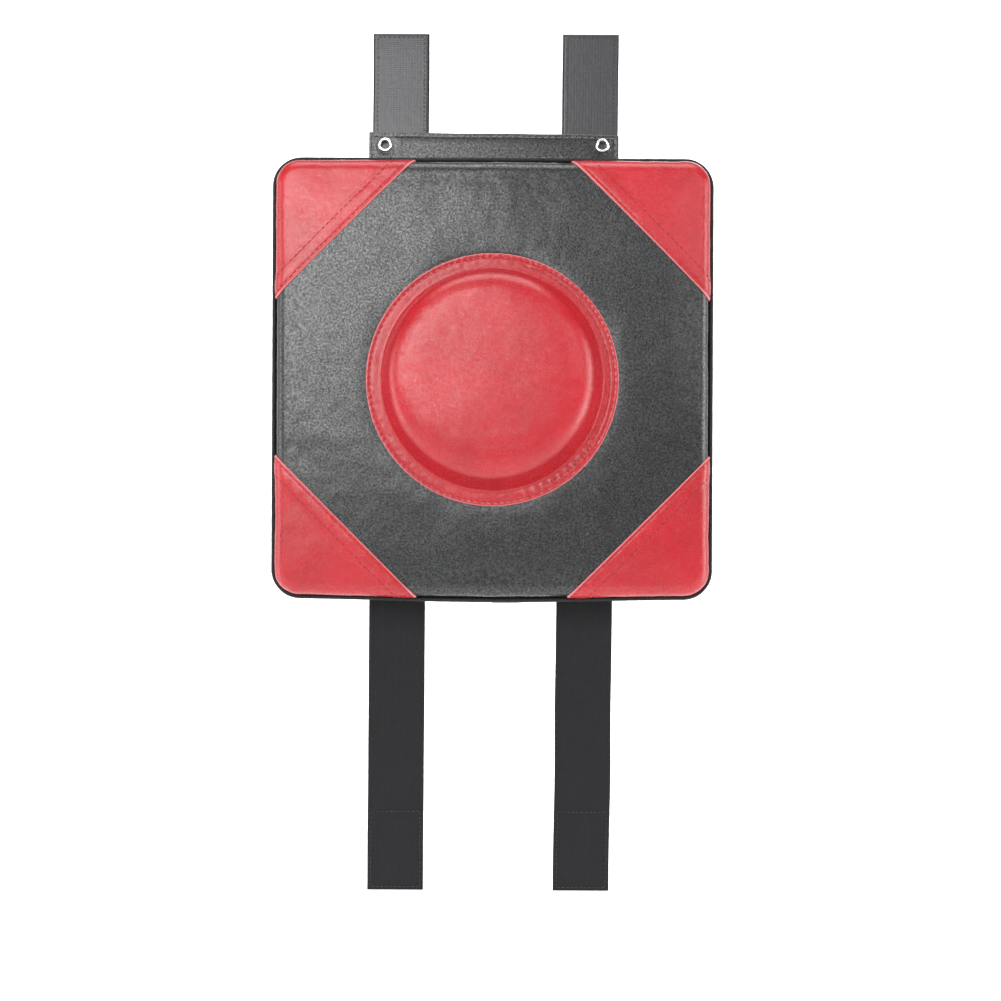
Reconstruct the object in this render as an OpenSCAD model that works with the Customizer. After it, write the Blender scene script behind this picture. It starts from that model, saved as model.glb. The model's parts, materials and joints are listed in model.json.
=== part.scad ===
// Square strap-on punch target: a padded square with a round raised target,
// a header with two eyelets to hang it by, and two webbing straps down its back.
// Millimetres. The front faces -Y and +Z is up. The origin lies midway between
// the two eyelets, on the plane that the backs of their washers lie in.

/* [Pad] */
// Width and height of the square pad at its widest
pad_w = 300; // [280:1:340]
// Thickness from the back cover's outer face to the front face
pad_t = 45; // [40:1:60]
// Corner radius of the pad's outline
pad_corner_r = 20; // [17:1:30]
// Radius of the rounded shoulder around the front face
shoulder_r = 8; // [5:0.5:10]
// Thickness of the synthetic leather
skin_t = 1.2; // [0.8:0.1:1.4]
// Diameter of the piping in the two seams around the pad
piping_d = 3; // [2.4:0.1:3.6]

/* [Corner patches] */
// Length of each patch along the pad's edges
patch_leg = 102; // [70:1:115]
// Thickness of a patch
patch_t = 1; // [0.6:0.1:1.2]

/* [Round target] */
// Outer diameter of the flange that is sewn down
flange_d = 169; // [160:1:180]
// Diameter of the raised part where it leaves the flange
dome_base_d = 148; // [146:1:152]
// Diameter of the flat top
dome_top_d = 118; // [100:1:124]
// Height of the flat top above the pad's front face
dome_h = 25; // [18:1:35]
// Radius of the edge between wall and flat top
dome_edge_r = 7; // [5:0.5:10]
// How far the target's middle lies below the pad's middle
target_drop = 2; // [0:0.5:8]

/* [Header and eyelets] */
// Width of the header
header_w = 177; // [172:1:200]
// Height of the header above the pad
header_h = 28.4; // [26:0.2:34]
// Thickness of the folded header
header_t = 2.4; // [2.2:0.1:3]
// Distance between the two eyelets
eyelet_spacing = 154; // [140:1:158]
// Height of the eyelets above the pad
eyelet_above_pad = 19; // [17:0.5:20]
// Outer diameter of an eyelet's rim
eyelet_od = 10; // [9:0.5:11]
// Diameter of the hole through an eyelet
eyelet_id = 6; // [4:0.5:6.5]

/* [Webbing] */
// Width of the straps
webbing_w = 40; // [30:1:44]
// Thickness of the straps
webbing_t = 2; // [1.4:0.1:2.4]
// Distance of each strap's middle from the pad's middle
webbing_x = 67; // [55:1:80]
// Length of the straps above the pad
top_tail = 100; // [90:1:160]
// Length of the straps below the pad
bottom_tail = 211; // [190:1:320]
// How far below the pad the lower straps curl
curl_below_pad = 100; // [80:1:110]

/* [Hook and loop tape] */
// Webbing left bare on each side of the tape
tape_margin = 1; // [0.5:0.5:4]
// Thickness of the tape
tape_t = 0.9; // [0.6:0.1:1.2]
// Length of the hook tape at the end of each lower strap
hook_tape_l = 57; // [40:1:65]

/* [Hidden] */
$fn = 64;

// Colours
BLACK_LEATHER = [0.24, 0.25, 0.26];
RED_LEATHER = [0.78, 0.16, 0.18];
PIPING_BLACK = [0.14, 0.14, 0.15];
WEBBING_BLACK = [0.20, 0.20, 0.21];
TAPE_GREY = [0.40, 0.40, 0.41];
NICKEL = [0.80, 0.80, 0.79];
FOAM_WHITE = [0.90, 0.89, 0.84];
FOAM_GREY = [0.62, 0.63, 0.64];
BOARD_GREY = [0.45, 0.45, 0.46];

// Sides and ends of the object
LEFT = -1;
RIGHT = 1;
TOP = 1;
BOTTOM = -1;

sewn_gap = 0.1;      // between layers that are sewn or glued together
tail_gap = 0.3;      // between the header's washers and the tape behind them
hinge_gap = 0.4;     // between the header's lower edge and the pad
strap_gap = 0.8;     // between two lengths of strap that fold against each other

// Header, eyelets and washers
washer_t = 0.5;
eyelet_wall = 0.4;
rim_proud = 0.8;
rivet_r = eyelet_id / 2 + eyelet_wall;
punched_r = rivet_r + 0.05;
header_y = -washer_t - header_t / 2;
core_t = header_t / 3;
core_side = 3.5;     // leather left around the header's reinforcement

// The pad's places
pad_top_z = -eyelet_above_pad;
pad_bottom_z = pad_top_z - pad_w;
pad_z = pad_top_z - pad_w / 2;
back_y = tail_gap + tape_t;
front_y = back_y - pad_t;
swing_z = pad_top_z + header_t / 2 + hinge_gap;

// The seams: each cover ends at its seam, and the piping lies between cover and gusset
piping_r = piping_d / 2;
piping_inset = 2.8;
cover_inset = 4.2;
back_cover_inset = 2;
shoulder_depth = shoulder_r + 0.9;
front_seam_y = front_y + shoulder_depth;
front_piping_y = front_seam_y + sewn_gap + piping_r;
back_piping_y = back_y - skin_t - sewn_gap - piping_r;
gusset_front_y = front_piping_y + piping_r + sewn_gap;
gusset_back_y = back_piping_y - piping_r - sewn_gap;

// The foam inside
foam_inset = piping_inset + piping_r + sewn_gap;
front_foam_inset = max(foam_inset, cover_inset + skin_t + sewn_gap);
wide_foam_inset = skin_t + sewn_gap;
board_t = 12;
board_y = back_y - skin_t - board_t;

// The straps and their fold lines
webbing_y = back_y + webbing_t / 2;
fold_offset = 2;
top_fold_z = pad_top_z + fold_offset;
bottom_fold_z = pad_bottom_z - fold_offset;
curl_z = pad_bottom_z - curl_below_pad;
strap_stop = webbing_t / 2 + strap_gap;
tape_end = 1;
tape_w = webbing_w - 2 * tape_margin;
loop_tape_start = 8;

function arc(centre, r, from, to, steps = 8) = [
    for (i = [0:steps])
        let (a = from + (to - from) * i / steps)
        centre + r * [cos(a), sin(a)]
];

// The raised target's profile, as [radius, height], from its foot to its axis
function dome_outline(inset) =
    let (lean = atan((dome_base_d - dome_top_d - 2 * dome_edge_r) / 2 / (dome_h - dome_edge_r)))
    concat(
        [[dome_base_d / 2 - inset, 0]],
        arc([dome_top_d / 2, dome_h - dome_edge_r], dome_edge_r - inset, lean, 90),
        [[0, dome_h - inset]]
    );

function reversed(points) = [for (i = [len(points) - 1:-1:0]) points[i]];

// A flat shape in X and Z, made solid from y_from back to y_to
module slab(y_from, y_to) {
    translate([0, y_to, 0])
        rotate([90, 0, 0])
            linear_extrude(y_to - y_from)
                children();
}

// The pad's outline, a given distance inside its widest place
module pad_outline(inset) {
    w = pad_w - 2 * inset;
    r = pad_corner_r - inset;
    translate([0, pad_z]) {
        square([w, w - 2 * r], center = true);
        square([w - 2 * r, w], center = true);
        for (x = [-1, 1], z = [-1, 1])
            translate([x, z] * (w / 2 - r))
                circle(r);
    }
}

// The rounded front of the pad as a solid, a given distance outside the front cover's outer face,
// and reaching a given distance behind its seam
module front_form(proud, behind = 0) {
    r = pad_corner_r - cover_inset + proud;
    rounding = shoulder_r + proud;
    depth = shoulder_depth + proud;
    reach = pad_w / 2 - pad_corner_r;
    translate([0, front_seam_y, pad_z])
        rotate([90, 0, 0])
            hull()
                for (x = [-1, 1], z = [-1, 1])
                    translate([x * reach, z * reach, 0])
                        rotate_extrude($fn = 40)
                            polygon(concat(
                                [[0, -behind], [r, -behind]],
                                arc([r - rounding, depth - rounding], rounding, 0, 90, 6),
                                [[0, depth]]
                            ));
}

module front_cover() {
    color(BLACK_LEATHER)
        difference() {
            front_form(0);
            front_form(-skin_t, 1);
        }
}

// A triangle of leather over one corner of the front cover
module corner_patch(side, end) {
    outside = pad_w / 2 + 5;
    diagonal = pad_w - patch_leg - outside;
    color(RED_LEATHER)
        intersection() {
            slab(front_y - 5, front_seam_y)
                translate([0, pad_z])
                    polygon([
                        [side * diagonal, end * outside],
                        [side * outside, end * outside],
                        [side * outside, end * diagonal]
                    ]);
            difference() {
                front_form(patch_t);
                front_form(sewn_gap / 2, 1);
            }
        }
}

// Places a shape of revolution on the pad's front face, its axis towards the front
module on_front_face() {
    translate([0, front_y, pad_z - target_drop])
        rotate([90, 0, 0])
            rotate_extrude($fn = 96)
                children();
}

module target_cover() {
    color(RED_LEATHER)
        on_front_face()
            union() {
                polygon(concat(dome_outline(0), reversed(dome_outline(skin_t))));
                translate([dome_base_d / 2 - skin_t, 0])
                    square([(flange_d - dome_base_d) / 2 + skin_t, skin_t]);
            }
}

module target_foam() {
    color(FOAM_WHITE)
        on_front_face()
            polygon(concat([[0, 0]], dome_outline(skin_t + sewn_gap)));
}

module front_foam() {
    color(FOAM_WHITE)
        union() {
            front_form(-skin_t - sewn_gap);
            slab(front_seam_y - 1, gusset_front_y)
                pad_outline(front_foam_inset);
        }
}

module core_foam() {
    color(FOAM_GREY)
        slab(gusset_front_y, board_y)
            pad_outline(wide_foam_inset);
}

module back_foam() {
    color(BOARD_GREY)
        union() {
            slab(board_y, gusset_back_y)
                pad_outline(wide_foam_inset);
            slab(gusset_back_y - 1, back_y - skin_t)
                pad_outline(foam_inset);
        }
}

module side_gusset() {
    color(BLACK_LEATHER)
        slab(gusset_front_y, gusset_back_y)
            difference() {
                pad_outline(0);
                pad_outline(skin_t);
            }
}

module back_cover() {
    color(BLACK_LEATHER)
        slab(back_y - skin_t, back_y)
            pad_outline(back_cover_inset);
}

// A round cord along the pad's outline
module piping(y) {
    r = pad_corner_r - piping_inset;
    side = pad_w - 2 * pad_corner_r;
    color(PIPING_BLACK)
        translate([0, y, pad_z])
            rotate([90, 0, 0])
                for (i = [0:3])
                    rotate([0, 0, 90 * i]) {
                        translate([side / 2, side / 2, 0])
                            rotate_extrude(angle = 90)
                                translate([r, 0])
                                    circle(piping_r, $fn = 20);
                        translate([side / 2 + r, side / 2, 0])
                            rotate([90, 0, 0])
                                cylinder(h = side, r = piping_r, $fn = 20);
                    }
}

module front_piping() {
    piping(front_piping_y);
}

module back_piping() {
    piping(back_piping_y);
}

// Runs something through both eyelet holes, from front to back
module eyelet_holes() {
    for (side = [LEFT, RIGHT])
        translate([side * eyelet_spacing / 2, 1, 0])
            rotate([90, 0, 0])
                cylinder(h = header_t + 4, r = punched_r);
}

// The space between the folded header's two leaves
module header_core(clear) {
    x = header_w / 2 - core_side + clear;
    low = swing_z + core_side - clear;
    high = pad_top_z + header_h - core_side + clear;
    translate([-x, header_y - core_t / 2 - clear / 2, low])
        cube([2 * x, core_t + clear, high - low]);
}

// Folded over at the top, with a round lower edge that the pad swings about
module header_strip() {
    r = header_t / 2;
    top = pad_top_z + header_h - r;
    color(BLACK_LEATHER)
        difference() {
            union() {
                translate([-header_w / 2, header_y - r, swing_z])
                    cube([header_w, header_t, top - swing_z]);
                for (z = [swing_z, top])
                    translate([-header_w / 2, header_y, z])
                        rotate([0, 90, 0])
                            cylinder(h = header_w, r = r);
            }
            header_core(sewn_gap / 2);
            eyelet_holes();
        }
}

module header_reinforcement() {
    color(BOARD_GREY)
        difference() {
            header_core(0);
            eyelet_holes();
        }
}

// Places a shape of revolution in one eyelet hole, its height towards the front
module at_eyelet(side) {
    translate([side * eyelet_spacing / 2, 0, 0])
        rotate([90, 0, 0])
            rotate_extrude()
                children();
}

// A rivet tube with a rim that is rolled over on the front
module eyelet(side) {
    hole_r = eyelet_id / 2;
    rim_r = eyelet_od / 2;
    front = washer_t + header_t;
    bevel = rim_proud / 2;
    color(NICKEL)
        at_eyelet(side)
            polygon([
                [hole_r, 0],
                [rivet_r, 0],
                [rivet_r, front],
                [rim_r, front],
                [rim_r, front + bevel],
                [rim_r - bevel, front + rim_proud],
                [hole_r + bevel, front + rim_proud],
                [hole_r, front + bevel]
            ]);
}

module washer(side) {
    color(NICKEL)
        at_eyelet(side)
            translate([punched_r, 0])
                square([eyelet_od / 2 - punched_r, washer_t]);
}

// A length of tape or strap from z_low up to z_high, with its front at y_front
module flat_length(side, w, t, y_front, z_low, z_high) {
    translate([side * webbing_x - w / 2, y_front, z_low])
        cube([w, t, z_high - z_low]);
}

// The round end of a strap, on its fold line
module fold_end(side, z) {
    translate([side * webbing_x - webbing_w / 2, webbing_y, z])
        rotate([0, 90, 0])
            cylinder(h = webbing_w, r = webbing_t / 2);
}

module back_webbing(side) {
    color(WEBBING_BLACK)
        flat_length(
            side, webbing_w, webbing_t, back_y,
            bottom_fold_z + strap_stop, top_fold_z - strap_stop
        );
}

module top_webbing(side) {
    color(WEBBING_BLACK)
        union() {
            flat_length(side, webbing_w, webbing_t, back_y, top_fold_z, pad_top_z + top_tail);
            fold_end(side, top_fold_z);
        }
}

// The soft tape on the front of each upper strap
module loop_tape(side) {
    color(TAPE_GREY)
        flat_length(
            side, tape_w, tape_t, back_y - tape_t,
            pad_top_z + loop_tape_start, pad_top_z + top_tail - tape_end
        );
}

module bottom_webbing(side) {
    color(WEBBING_BLACK)
        union() {
            flat_length(side, webbing_w, webbing_t, back_y, curl_z + strap_stop, bottom_fold_z);
            fold_end(side, bottom_fold_z);
        }
}

module end_webbing(side) {
    color(WEBBING_BLACK)
        union() {
            flat_length(side, webbing_w, webbing_t, back_y, pad_bottom_z - bottom_tail, curl_z);
            fold_end(side, curl_z);
        }
}

// The hooked tape on the back of each lower strap's end
module hook_tape(side) {
    low = pad_bottom_z - bottom_tail + tape_end;
    color(TAPE_GREY)
        flat_length(side, tape_w, tape_t, back_y + webbing_t, low, low + hook_tape_l);
}

header_strip();
header_reinforcement();
eyelet(LEFT);  // eyelet_left
eyelet(RIGHT);  // eyelet_right
washer(LEFT);  // washer_left
washer(RIGHT);  // washer_right
front_cover();
corner_patch(LEFT, TOP);  // corner_patch_top_left
corner_patch(RIGHT, TOP);  // corner_patch_top_right
corner_patch(LEFT, BOTTOM);  // corner_patch_bottom_left
corner_patch(RIGHT, BOTTOM);  // corner_patch_bottom_right
target_cover();
target_foam();
front_foam();
core_foam();
back_foam();
side_gusset();
back_cover();
front_piping();
back_piping();
back_webbing(LEFT);  // back_webbing_left
back_webbing(RIGHT);  // back_webbing_right
top_webbing(LEFT);  // top_webbing_left
top_webbing(RIGHT);  // top_webbing_right
loop_tape(LEFT);  // loop_tape_left
loop_tape(RIGHT);  // loop_tape_right
bottom_webbing(LEFT);  // bottom_webbing_left
bottom_webbing(RIGHT);  // bottom_webbing_right
end_webbing(LEFT);  // end_webbing_left
end_webbing(RIGHT);  // end_webbing_right
hook_tape(LEFT);  // hook_tape_left
hook_tape(RIGHT);  // hook_tape_right
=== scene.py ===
"""The visual model of a square strap-on punch target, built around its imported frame.

The front faces -Y and +Z is up. Lengths are in metres; sizes written here are in millimetres
times MM. A flat shape on the front is given in X and Z, as seen by somebody facing the pad.
"""

import json
import math

import bmesh
import bpy
import numpy as np
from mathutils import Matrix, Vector, noise
from mathutils.bvhtree import BVHTree

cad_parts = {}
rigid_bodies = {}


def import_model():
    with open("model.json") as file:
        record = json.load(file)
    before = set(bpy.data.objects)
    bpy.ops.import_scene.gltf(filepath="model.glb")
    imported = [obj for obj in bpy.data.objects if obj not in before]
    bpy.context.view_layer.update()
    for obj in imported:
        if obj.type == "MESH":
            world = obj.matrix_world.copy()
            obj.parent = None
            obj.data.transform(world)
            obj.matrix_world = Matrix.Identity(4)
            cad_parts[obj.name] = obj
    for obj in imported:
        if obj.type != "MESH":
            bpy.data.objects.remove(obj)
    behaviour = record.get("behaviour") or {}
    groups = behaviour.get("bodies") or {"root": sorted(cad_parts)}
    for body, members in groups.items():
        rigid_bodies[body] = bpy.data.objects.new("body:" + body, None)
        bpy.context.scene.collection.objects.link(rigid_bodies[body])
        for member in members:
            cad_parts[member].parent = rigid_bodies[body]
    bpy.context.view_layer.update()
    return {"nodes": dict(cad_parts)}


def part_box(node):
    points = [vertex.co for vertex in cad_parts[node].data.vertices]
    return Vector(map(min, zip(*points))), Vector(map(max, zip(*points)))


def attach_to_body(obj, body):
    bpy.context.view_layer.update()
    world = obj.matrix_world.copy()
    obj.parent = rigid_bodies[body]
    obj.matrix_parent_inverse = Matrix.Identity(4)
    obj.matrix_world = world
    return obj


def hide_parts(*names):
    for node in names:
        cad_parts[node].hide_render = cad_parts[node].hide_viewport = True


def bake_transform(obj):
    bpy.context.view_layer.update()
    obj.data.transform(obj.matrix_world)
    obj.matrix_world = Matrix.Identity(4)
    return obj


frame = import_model()

MM = 0.001
LEFT, RIGHT = -1, 1
SIDE_NAMES = {LEFT: "left", RIGHT: "right"}
TOP, BOTTOM = 1, -1
END_NAMES = {TOP: "top", BOTTOM: "bottom"}

# ---------------------------------------------------------------- camera
CAMERA_SPOT = (5.8 * MM, -731.8 * MM, -251.7 * MM)
CAMERA_LENS = 37.0
CAMERA_ROLL = math.radians(0.25)

camera = bpy.data.objects.new("camera", bpy.data.cameras.new("camera"))
bpy.context.scene.collection.objects.link(camera)
bpy.context.scene.camera = camera
camera.location = CAMERA_SPOT
camera.rotation_euler = (math.pi / 2, -CAMERA_ROLL, 0)
camera.data.lens = CAMERA_LENS
camera.data.sensor_width = 36
camera.data.clip_start = 0.05

# ---------------------------------------------------------------- places, from the frame
CORNER_R = 20 * MM
SKIN_T = 1.2 * MM
SHOULDER_R = 8 * MM
FOAM_CLEAR = 1.5 * MM

gusset_low, gusset_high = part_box("side_gusset")
cover_low, cover_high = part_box("front_cover")
back_low, back_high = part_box("back_cover")
target_low, target_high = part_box("target_cover")
header_low, header_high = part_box("header_strip")
strap_low, strap_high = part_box("back_webbing_right")
eyelet_low, eyelet_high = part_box("eyelet_right")

PAD_Z = (gusset_low.z + gusset_high.z) / 2
PAD_TOP = gusset_high.z
PAD_BOTTOM = gusset_low.z
REACH = gusset_high.x - CORNER_R  # the pad's outline is drawn around a square this far out
FRONT_Y = cover_low.y
SEAM_Y = cover_high.y
SEAM_RHO = cover_high.x - REACH
BACK_Y = back_high.y
BACK_RHO = back_high.x - REACH

TARGET_Z = (target_low.z + target_high.z) / 2
FLANGE_R = (target_high.x - target_low.x) / 2
DOME_BASE_R = 74 * MM
DOME_TOP_R = 56 * MM
DOME_EDGE_R = 13 * MM
DOME_H = FRONT_Y - target_low.y

STRAP_X = (strap_low.x + strap_high.x) / 2
STRAP_W = strap_high.x - strap_low.x
WEB_DEPTHS = (strap_low.y, strap_high.y)


# ---------------------------------------------------------------- points and meshes
def link(obj):
    bpy.context.scene.collection.objects.link(obj)
    return obj


def lumps(points, size, seed=0):
    """Smooth noise, about -1 to 1, at each point; size is how far apart its lumps lie."""
    shift = Vector((17.3, 5.1, 9.7)) * seed
    return np.array([noise.noise(Vector(p) / size + shift) for p in points])


def fade(x, start, end):
    """0 before start, 1 after end, and smooth between."""
    t = np.clip((x - start) / (end - start), 0, 1)
    return t * t * (3 - 2 * t)


def dip(x, middle, width):
    """A smooth bump of height 1 and about that width."""
    return np.exp(-(((x - middle) / width) ** 2))


def grid_faces(rows, columns, wrap=False, closed=False):
    """Quads of a grid of points; wrap joins its last column to its first, closed its last row."""
    faces = []
    for r in range(rows if closed else rows - 1):
        low, high = r * columns, (r + 1) % rows * columns
        for c in range(columns if wrap else columns - 1):
            d = (c + 1) % columns
            faces.append((low + c, low + d, high + d, high + c))
    return faces


def raw_mesh(name, points, faces):
    mesh = bpy.data.meshes.new(name)
    mesh.from_pydata(np.asarray(points).tolist(), [], faces)
    return mesh


def mesh_points(mesh):
    flat = np.zeros(len(mesh.vertices) * 3)
    mesh.vertices.foreach_get("co", flat)
    return flat.reshape(-1, 3)


def normals_of(points, faces):
    mesh = raw_mesh("temporary", points, faces)
    flat = np.zeros(len(mesh.vertices) * 3)
    mesh.vertex_normals.foreach_get("vector", flat)
    bpy.data.meshes.remove(mesh)
    return flat.reshape(-1, 3)


def shell(outer, inner, faces):
    """Points and faces of the closed skin between two surfaces that share their faces."""
    n = len(outer)
    edges = {(a, b) for f in faces for a, b in zip(f, f[1:] + f[:1])}
    rim = [(b, a, a + n, b + n) for a, b in sorted(edges) if (b, a) not in edges]
    inside = [tuple(i + n for i in reversed(f)) for f in faces]
    return np.vstack([outer, inner]), [*faces, *inside, *rim]


def thick(points, faces, thickness):
    return shell(points, points - normals_of(points, faces) * thickness, faces)


def piece(name, points, faces, material, flat=None, wear=None, sharp=50):
    """A mesh object. Its materials read two attributes: flat, where a point lay before the piece
    bent, and wear, from 0 to 1 on cut or rubbed edges, and down to -1 where it is dull at a seam."""
    mesh = raw_mesh(name, points, faces)
    mesh.materials.append(material)
    mesh.polygons.foreach_set("use_smooth", [True] * len(mesh.polygons))
    mesh.set_sharp_from_angle(angle=math.radians(sharp))
    places = mesh.attributes.new("flat", "FLOAT_VECTOR", "POINT")
    places.data.foreach_set("vector", np.ravel(points if flat is None else flat))
    worn = mesh.attributes.new("wear", "FLOAT", "POINT")
    worn.data.foreach_set("value", np.zeros(len(points)) if wear is None else wear)
    return link(bpy.data.objects.new(name, mesh))


def attach(obj, body, stands_for=()):
    if body is not None:
        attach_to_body(obj, body)
    if stands_for:
        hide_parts(*stands_for)
    return obj


# ---------------------------------------------------------------- soft skins
SIM_FRAMES = 20


def ring_mesh(rings, middle=None, inner_first=False):
    """Points and faces of rings of points, with a fan to the point in the middle if there is one.
    inner_first says that the fan joins the first ring, and not the last."""
    rows, columns = rings.shape[:2]
    points, faces = rings.reshape(-1, 3), grid_faces(rows, columns, wrap=True)
    if middle is None:
        return points, faces
    if inner_first:
        faces += [tuple(reversed(f)) for f in fan_faces(0, columns, len(points))]
    else:
        faces += fan_faces((rows - 1) * columns, columns, len(points))
    return np.vstack([points, middle]), faces


def evened(moves, passes=12):
    """Movements of rings of points without their small wrinkles."""
    for _ in range(passes):
        moves = (np.roll(moves, 1, axis=1) + 2 * moves + np.roll(moves, -1, axis=1)) / 4
        longer = np.concatenate([moves[:1], moves, moves[-1:]])
        moves = (longer[:-2] + 6 * moves + longer[2:]) / 8
    return moves


def puffed(rings, held, most, pressure=4.0, middle=None, inner_first=False):
    """Rings of points puffed out like a stuffed cover by a cloth simulation under pressure. They
    are held where held is true, and no point moves further than its entry in most."""
    scene = bpy.context.scene
    points, faces = ring_mesh(rings, middle, inner_first)
    obj = link(bpy.data.objects.new("simulated", raw_mesh("simulated", points, faces)))
    group = obj.vertex_groups.new(name="held")
    group.add([int(i) for i in np.flatnonzero(held)], 1.0, "REPLACE")
    cloth = obj.modifiers.new("cloth", "CLOTH")
    cloth.settings.vertex_group_mass = "held"
    cloth.settings.use_pressure = True
    cloth.settings.uniform_pressure_force = pressure
    cloth.settings.effector_weights.gravity = 0
    cloth.point_cache.frame_start = 1
    cloth.point_cache.frame_end = SIM_FRAMES
    for step in range(1, SIM_FRAMES + 1):
        scene.frame_set(step)
    swollen = obj.evaluated_get(bpy.context.evaluated_depsgraph_get())
    moved = mesh_points(swollen.data) - points
    bpy.data.objects.remove(obj)
    scene.frame_set(1)
    count = rings.shape[0] * rings.shape[1]
    moved[:count] = evened(moved[:count].reshape(rings.shape)).reshape(-1, 3)
    far = np.maximum(np.linalg.norm(moved, axis=1), 1e-9)
    most = np.maximum(np.broadcast_to(most, far.shape), 1e-7)
    points = points + moved * (most * np.tanh(far / most) / far)[:, None]
    return points[:count].reshape(rings.shape), None if middle is None else points[count:]


def refined(rings):
    """Rings with a new point between each two, along and around, on a smooth curve."""
    after, beyond = np.roll(rings, -1, axis=1), np.roll(rings, -2, axis=1)
    between = (9 * (rings + after) - np.roll(rings, 1, axis=1) - beyond) / 16
    wide = np.stack([rings, between], axis=2).reshape(len(rings), -1, 3)
    longer = np.concatenate([2 * wide[:1] - wide[1:2], wide, 2 * wide[-1:] - wide[-2:-1]])
    fine = np.empty((2 * len(wide) - 1, *wide.shape[1:]))
    fine[::2] = wide
    fine[1::2] = (9 * (longer[1:-2] + longer[2:-1]) - longer[:-3] - longer[3:]) / 16
    return fine


def lap(step, turns):
    """Once around the pad's inner square, anticlockwise from the front: the points in X and Z,
    and at each one the direction outwards, which turns in steps at the corners."""
    spots, ways = [], []
    for quarter in range(4):
        turn = quarter * math.pi / 2
        way = np.array([math.cos(turn), math.sin(turn)])
        along = np.array([-way[1], way[0]])
        for s in np.linspace(-REACH, REACH, round(2 * REACH / step) + 1):
            spots.append(REACH * way + s * along)
            ways.append(way)
        for a in turn + np.linspace(0, math.pi / 2, turns + 1)[1:-1]:
            spots.append(REACH * (way + along))
            ways.append(np.array([math.cos(a), math.sin(a)]))
    return np.array(spots), np.array(ways)


def at_height(flat, y):
    """Points in X and Z around the pad's middle, placed at y."""
    return np.column_stack([flat[:, 0], np.full(len(flat), y), flat[:, 1] + PAD_Z])


SAG = 2.2 * MM


def settled(points):
    """The points, lower in the middle of the pad's bottom edge, where its filling has sunk."""
    x, z = points[:, 0] / (2 * (REACH + CORNER_R)), points[:, 2]
    low = fade(PAD_Z - z, 92 * MM, 150 * MM)
    sunk = points.copy()
    sunk[:, 2] -= SAG * low * np.cos(np.pi * np.clip(x, -0.5, 0.5)) ** 2
    return sunk


def fan_faces(first, count, middle):
    """Triangles from a ring of points to the point in its middle."""
    return [(first + c, first + (c + 1) % count, middle) for c in range(count)]


def quarter_round(rho, y, radius, steps):
    """(rho, y) along a rounded shoulder, from its side to the front."""
    return [
        (rho + radius * math.cos(a), y - radius * math.sin(a))
        for a in np.linspace(0, math.pi / 2, steps + 1)
    ]


def around_pad(profile, step=5 * MM, turns=6):
    """Rings of points around the pad, one for each (rho, y) of a profile."""
    spots, ways = lap(step, turns)
    return [at_height(spots + ways * rho, y) for rho, y in profile]


# ---------------------------------------------------------------- drawing on surfaces
def facing(points, faces):
    return BVHTree.FromPolygons(np.asarray(points).tolist(), faces)


def drawn(tree, xz, from_front=True):
    """A line in X and Z cast onto a surface from the front or the back: its points and normals."""
    start, way = (-0.3, 1) if from_front else (0.3, -1)
    spots, ups = [], []
    for x, z in xz:
        spot, up, _, _ = tree.ray_cast(Vector((x, start, z)), Vector((0, way, 0)))
        if spot is not None:
            spots.append(spot)
            ups.append(up if up.y * way < 0 else -up)
    return np.array(spots), np.array(ups)


def straight(start, end, steps=60):
    return np.linspace(start, end, steps)


# Along one stitch: how far along it is, how high it lies and how thick, in lengths and radii
STITCH_ALONG = np.array([-0.5, -0.4, -0.16, 0.16, 0.4, 0.5])
STITCH_LIFT = np.array([-1.3, -0.1, 0.45, 0.45, -0.1, -1.3])
STITCH_GIRTH = np.array([0.6, 0.95, 1.0, 1.0, 0.95, 0.6])
STITCH_SIDES = 6


def stitched(name, lines, material, body, pitch=4.3 * MM, share=0.74, radius=0.36 * MM):
    """Arched stitches, a pitch apart, along lines of (points, normals). Each is share of a pitch."""
    rings = len(STITCH_ALONG)
    turn = np.arange(STITCH_SIDES) * 2 * math.pi / STITCH_SIDES
    points, flat, faces = [], [], []
    one = grid_faces(rings, STITCH_SIDES, wrap=True)
    one.append(tuple(reversed(range(STITCH_SIDES))))
    one.append(tuple(range((rings - 1) * STITCH_SIDES, rings * STITCH_SIDES)))
    for spots, ups in lines:
        run = np.concatenate([[0], np.cumsum(np.linalg.norm(np.diff(spots, axis=0), axis=1))])
        count = max(1, round(run[-1] / pitch))
        middles = (np.arange(count) + 0.5) * run[-1] / count
        along = middles[:, None] + pitch * share * STITCH_ALONG
        spot = np.stack([np.interp(along, run, spots[:, i]) for i in range(3)], axis=-1)
        up = np.stack([np.interp(along, run, ups[:, i]) for i in range(3)], axis=-1)
        up /= np.linalg.norm(up, axis=-1, keepdims=True)
        way = spot[:, -1] - spot[:, 0]
        way /= np.maximum(np.linalg.norm(way, axis=-1, keepdims=True), 1e-9)
        across = np.cross(way[:, None, :], up)
        middle = spot + up * (radius * STITCH_LIFT)[None, :, None]
        girth = radius * STITCH_GIRTH[None, :, None, None]
        ring = (
            middle[:, :, None, :]
            + np.cos(turn)[None, None, :, None] * girth * up[:, :, None, :] * 0.85
            + np.sin(turn)[None, None, :, None] * girth * across[:, :, None, :]
        )
        start = sum(len(p) for p in points)
        points.append(ring.reshape(-1, 3))
        lay = np.zeros(ring.shape)
        lay[..., 0] = along[:, :, None]
        lay[..., 1] = turn[None, None, :] * radius
        flat.append(lay.reshape(-1, 3))
        each = rings * STITCH_SIDES
        for k in range(count):
            faces += [tuple(i + start + k * each for i in f) for f in one]
    return attach(piece(name, np.vstack(points), faces, material, np.vstack(flat)), body)


# ---------------------------------------------------------------- materials
def shade(color, factor):
    return tuple(c * factor for c in color[:3]) + (1.0,)


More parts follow.
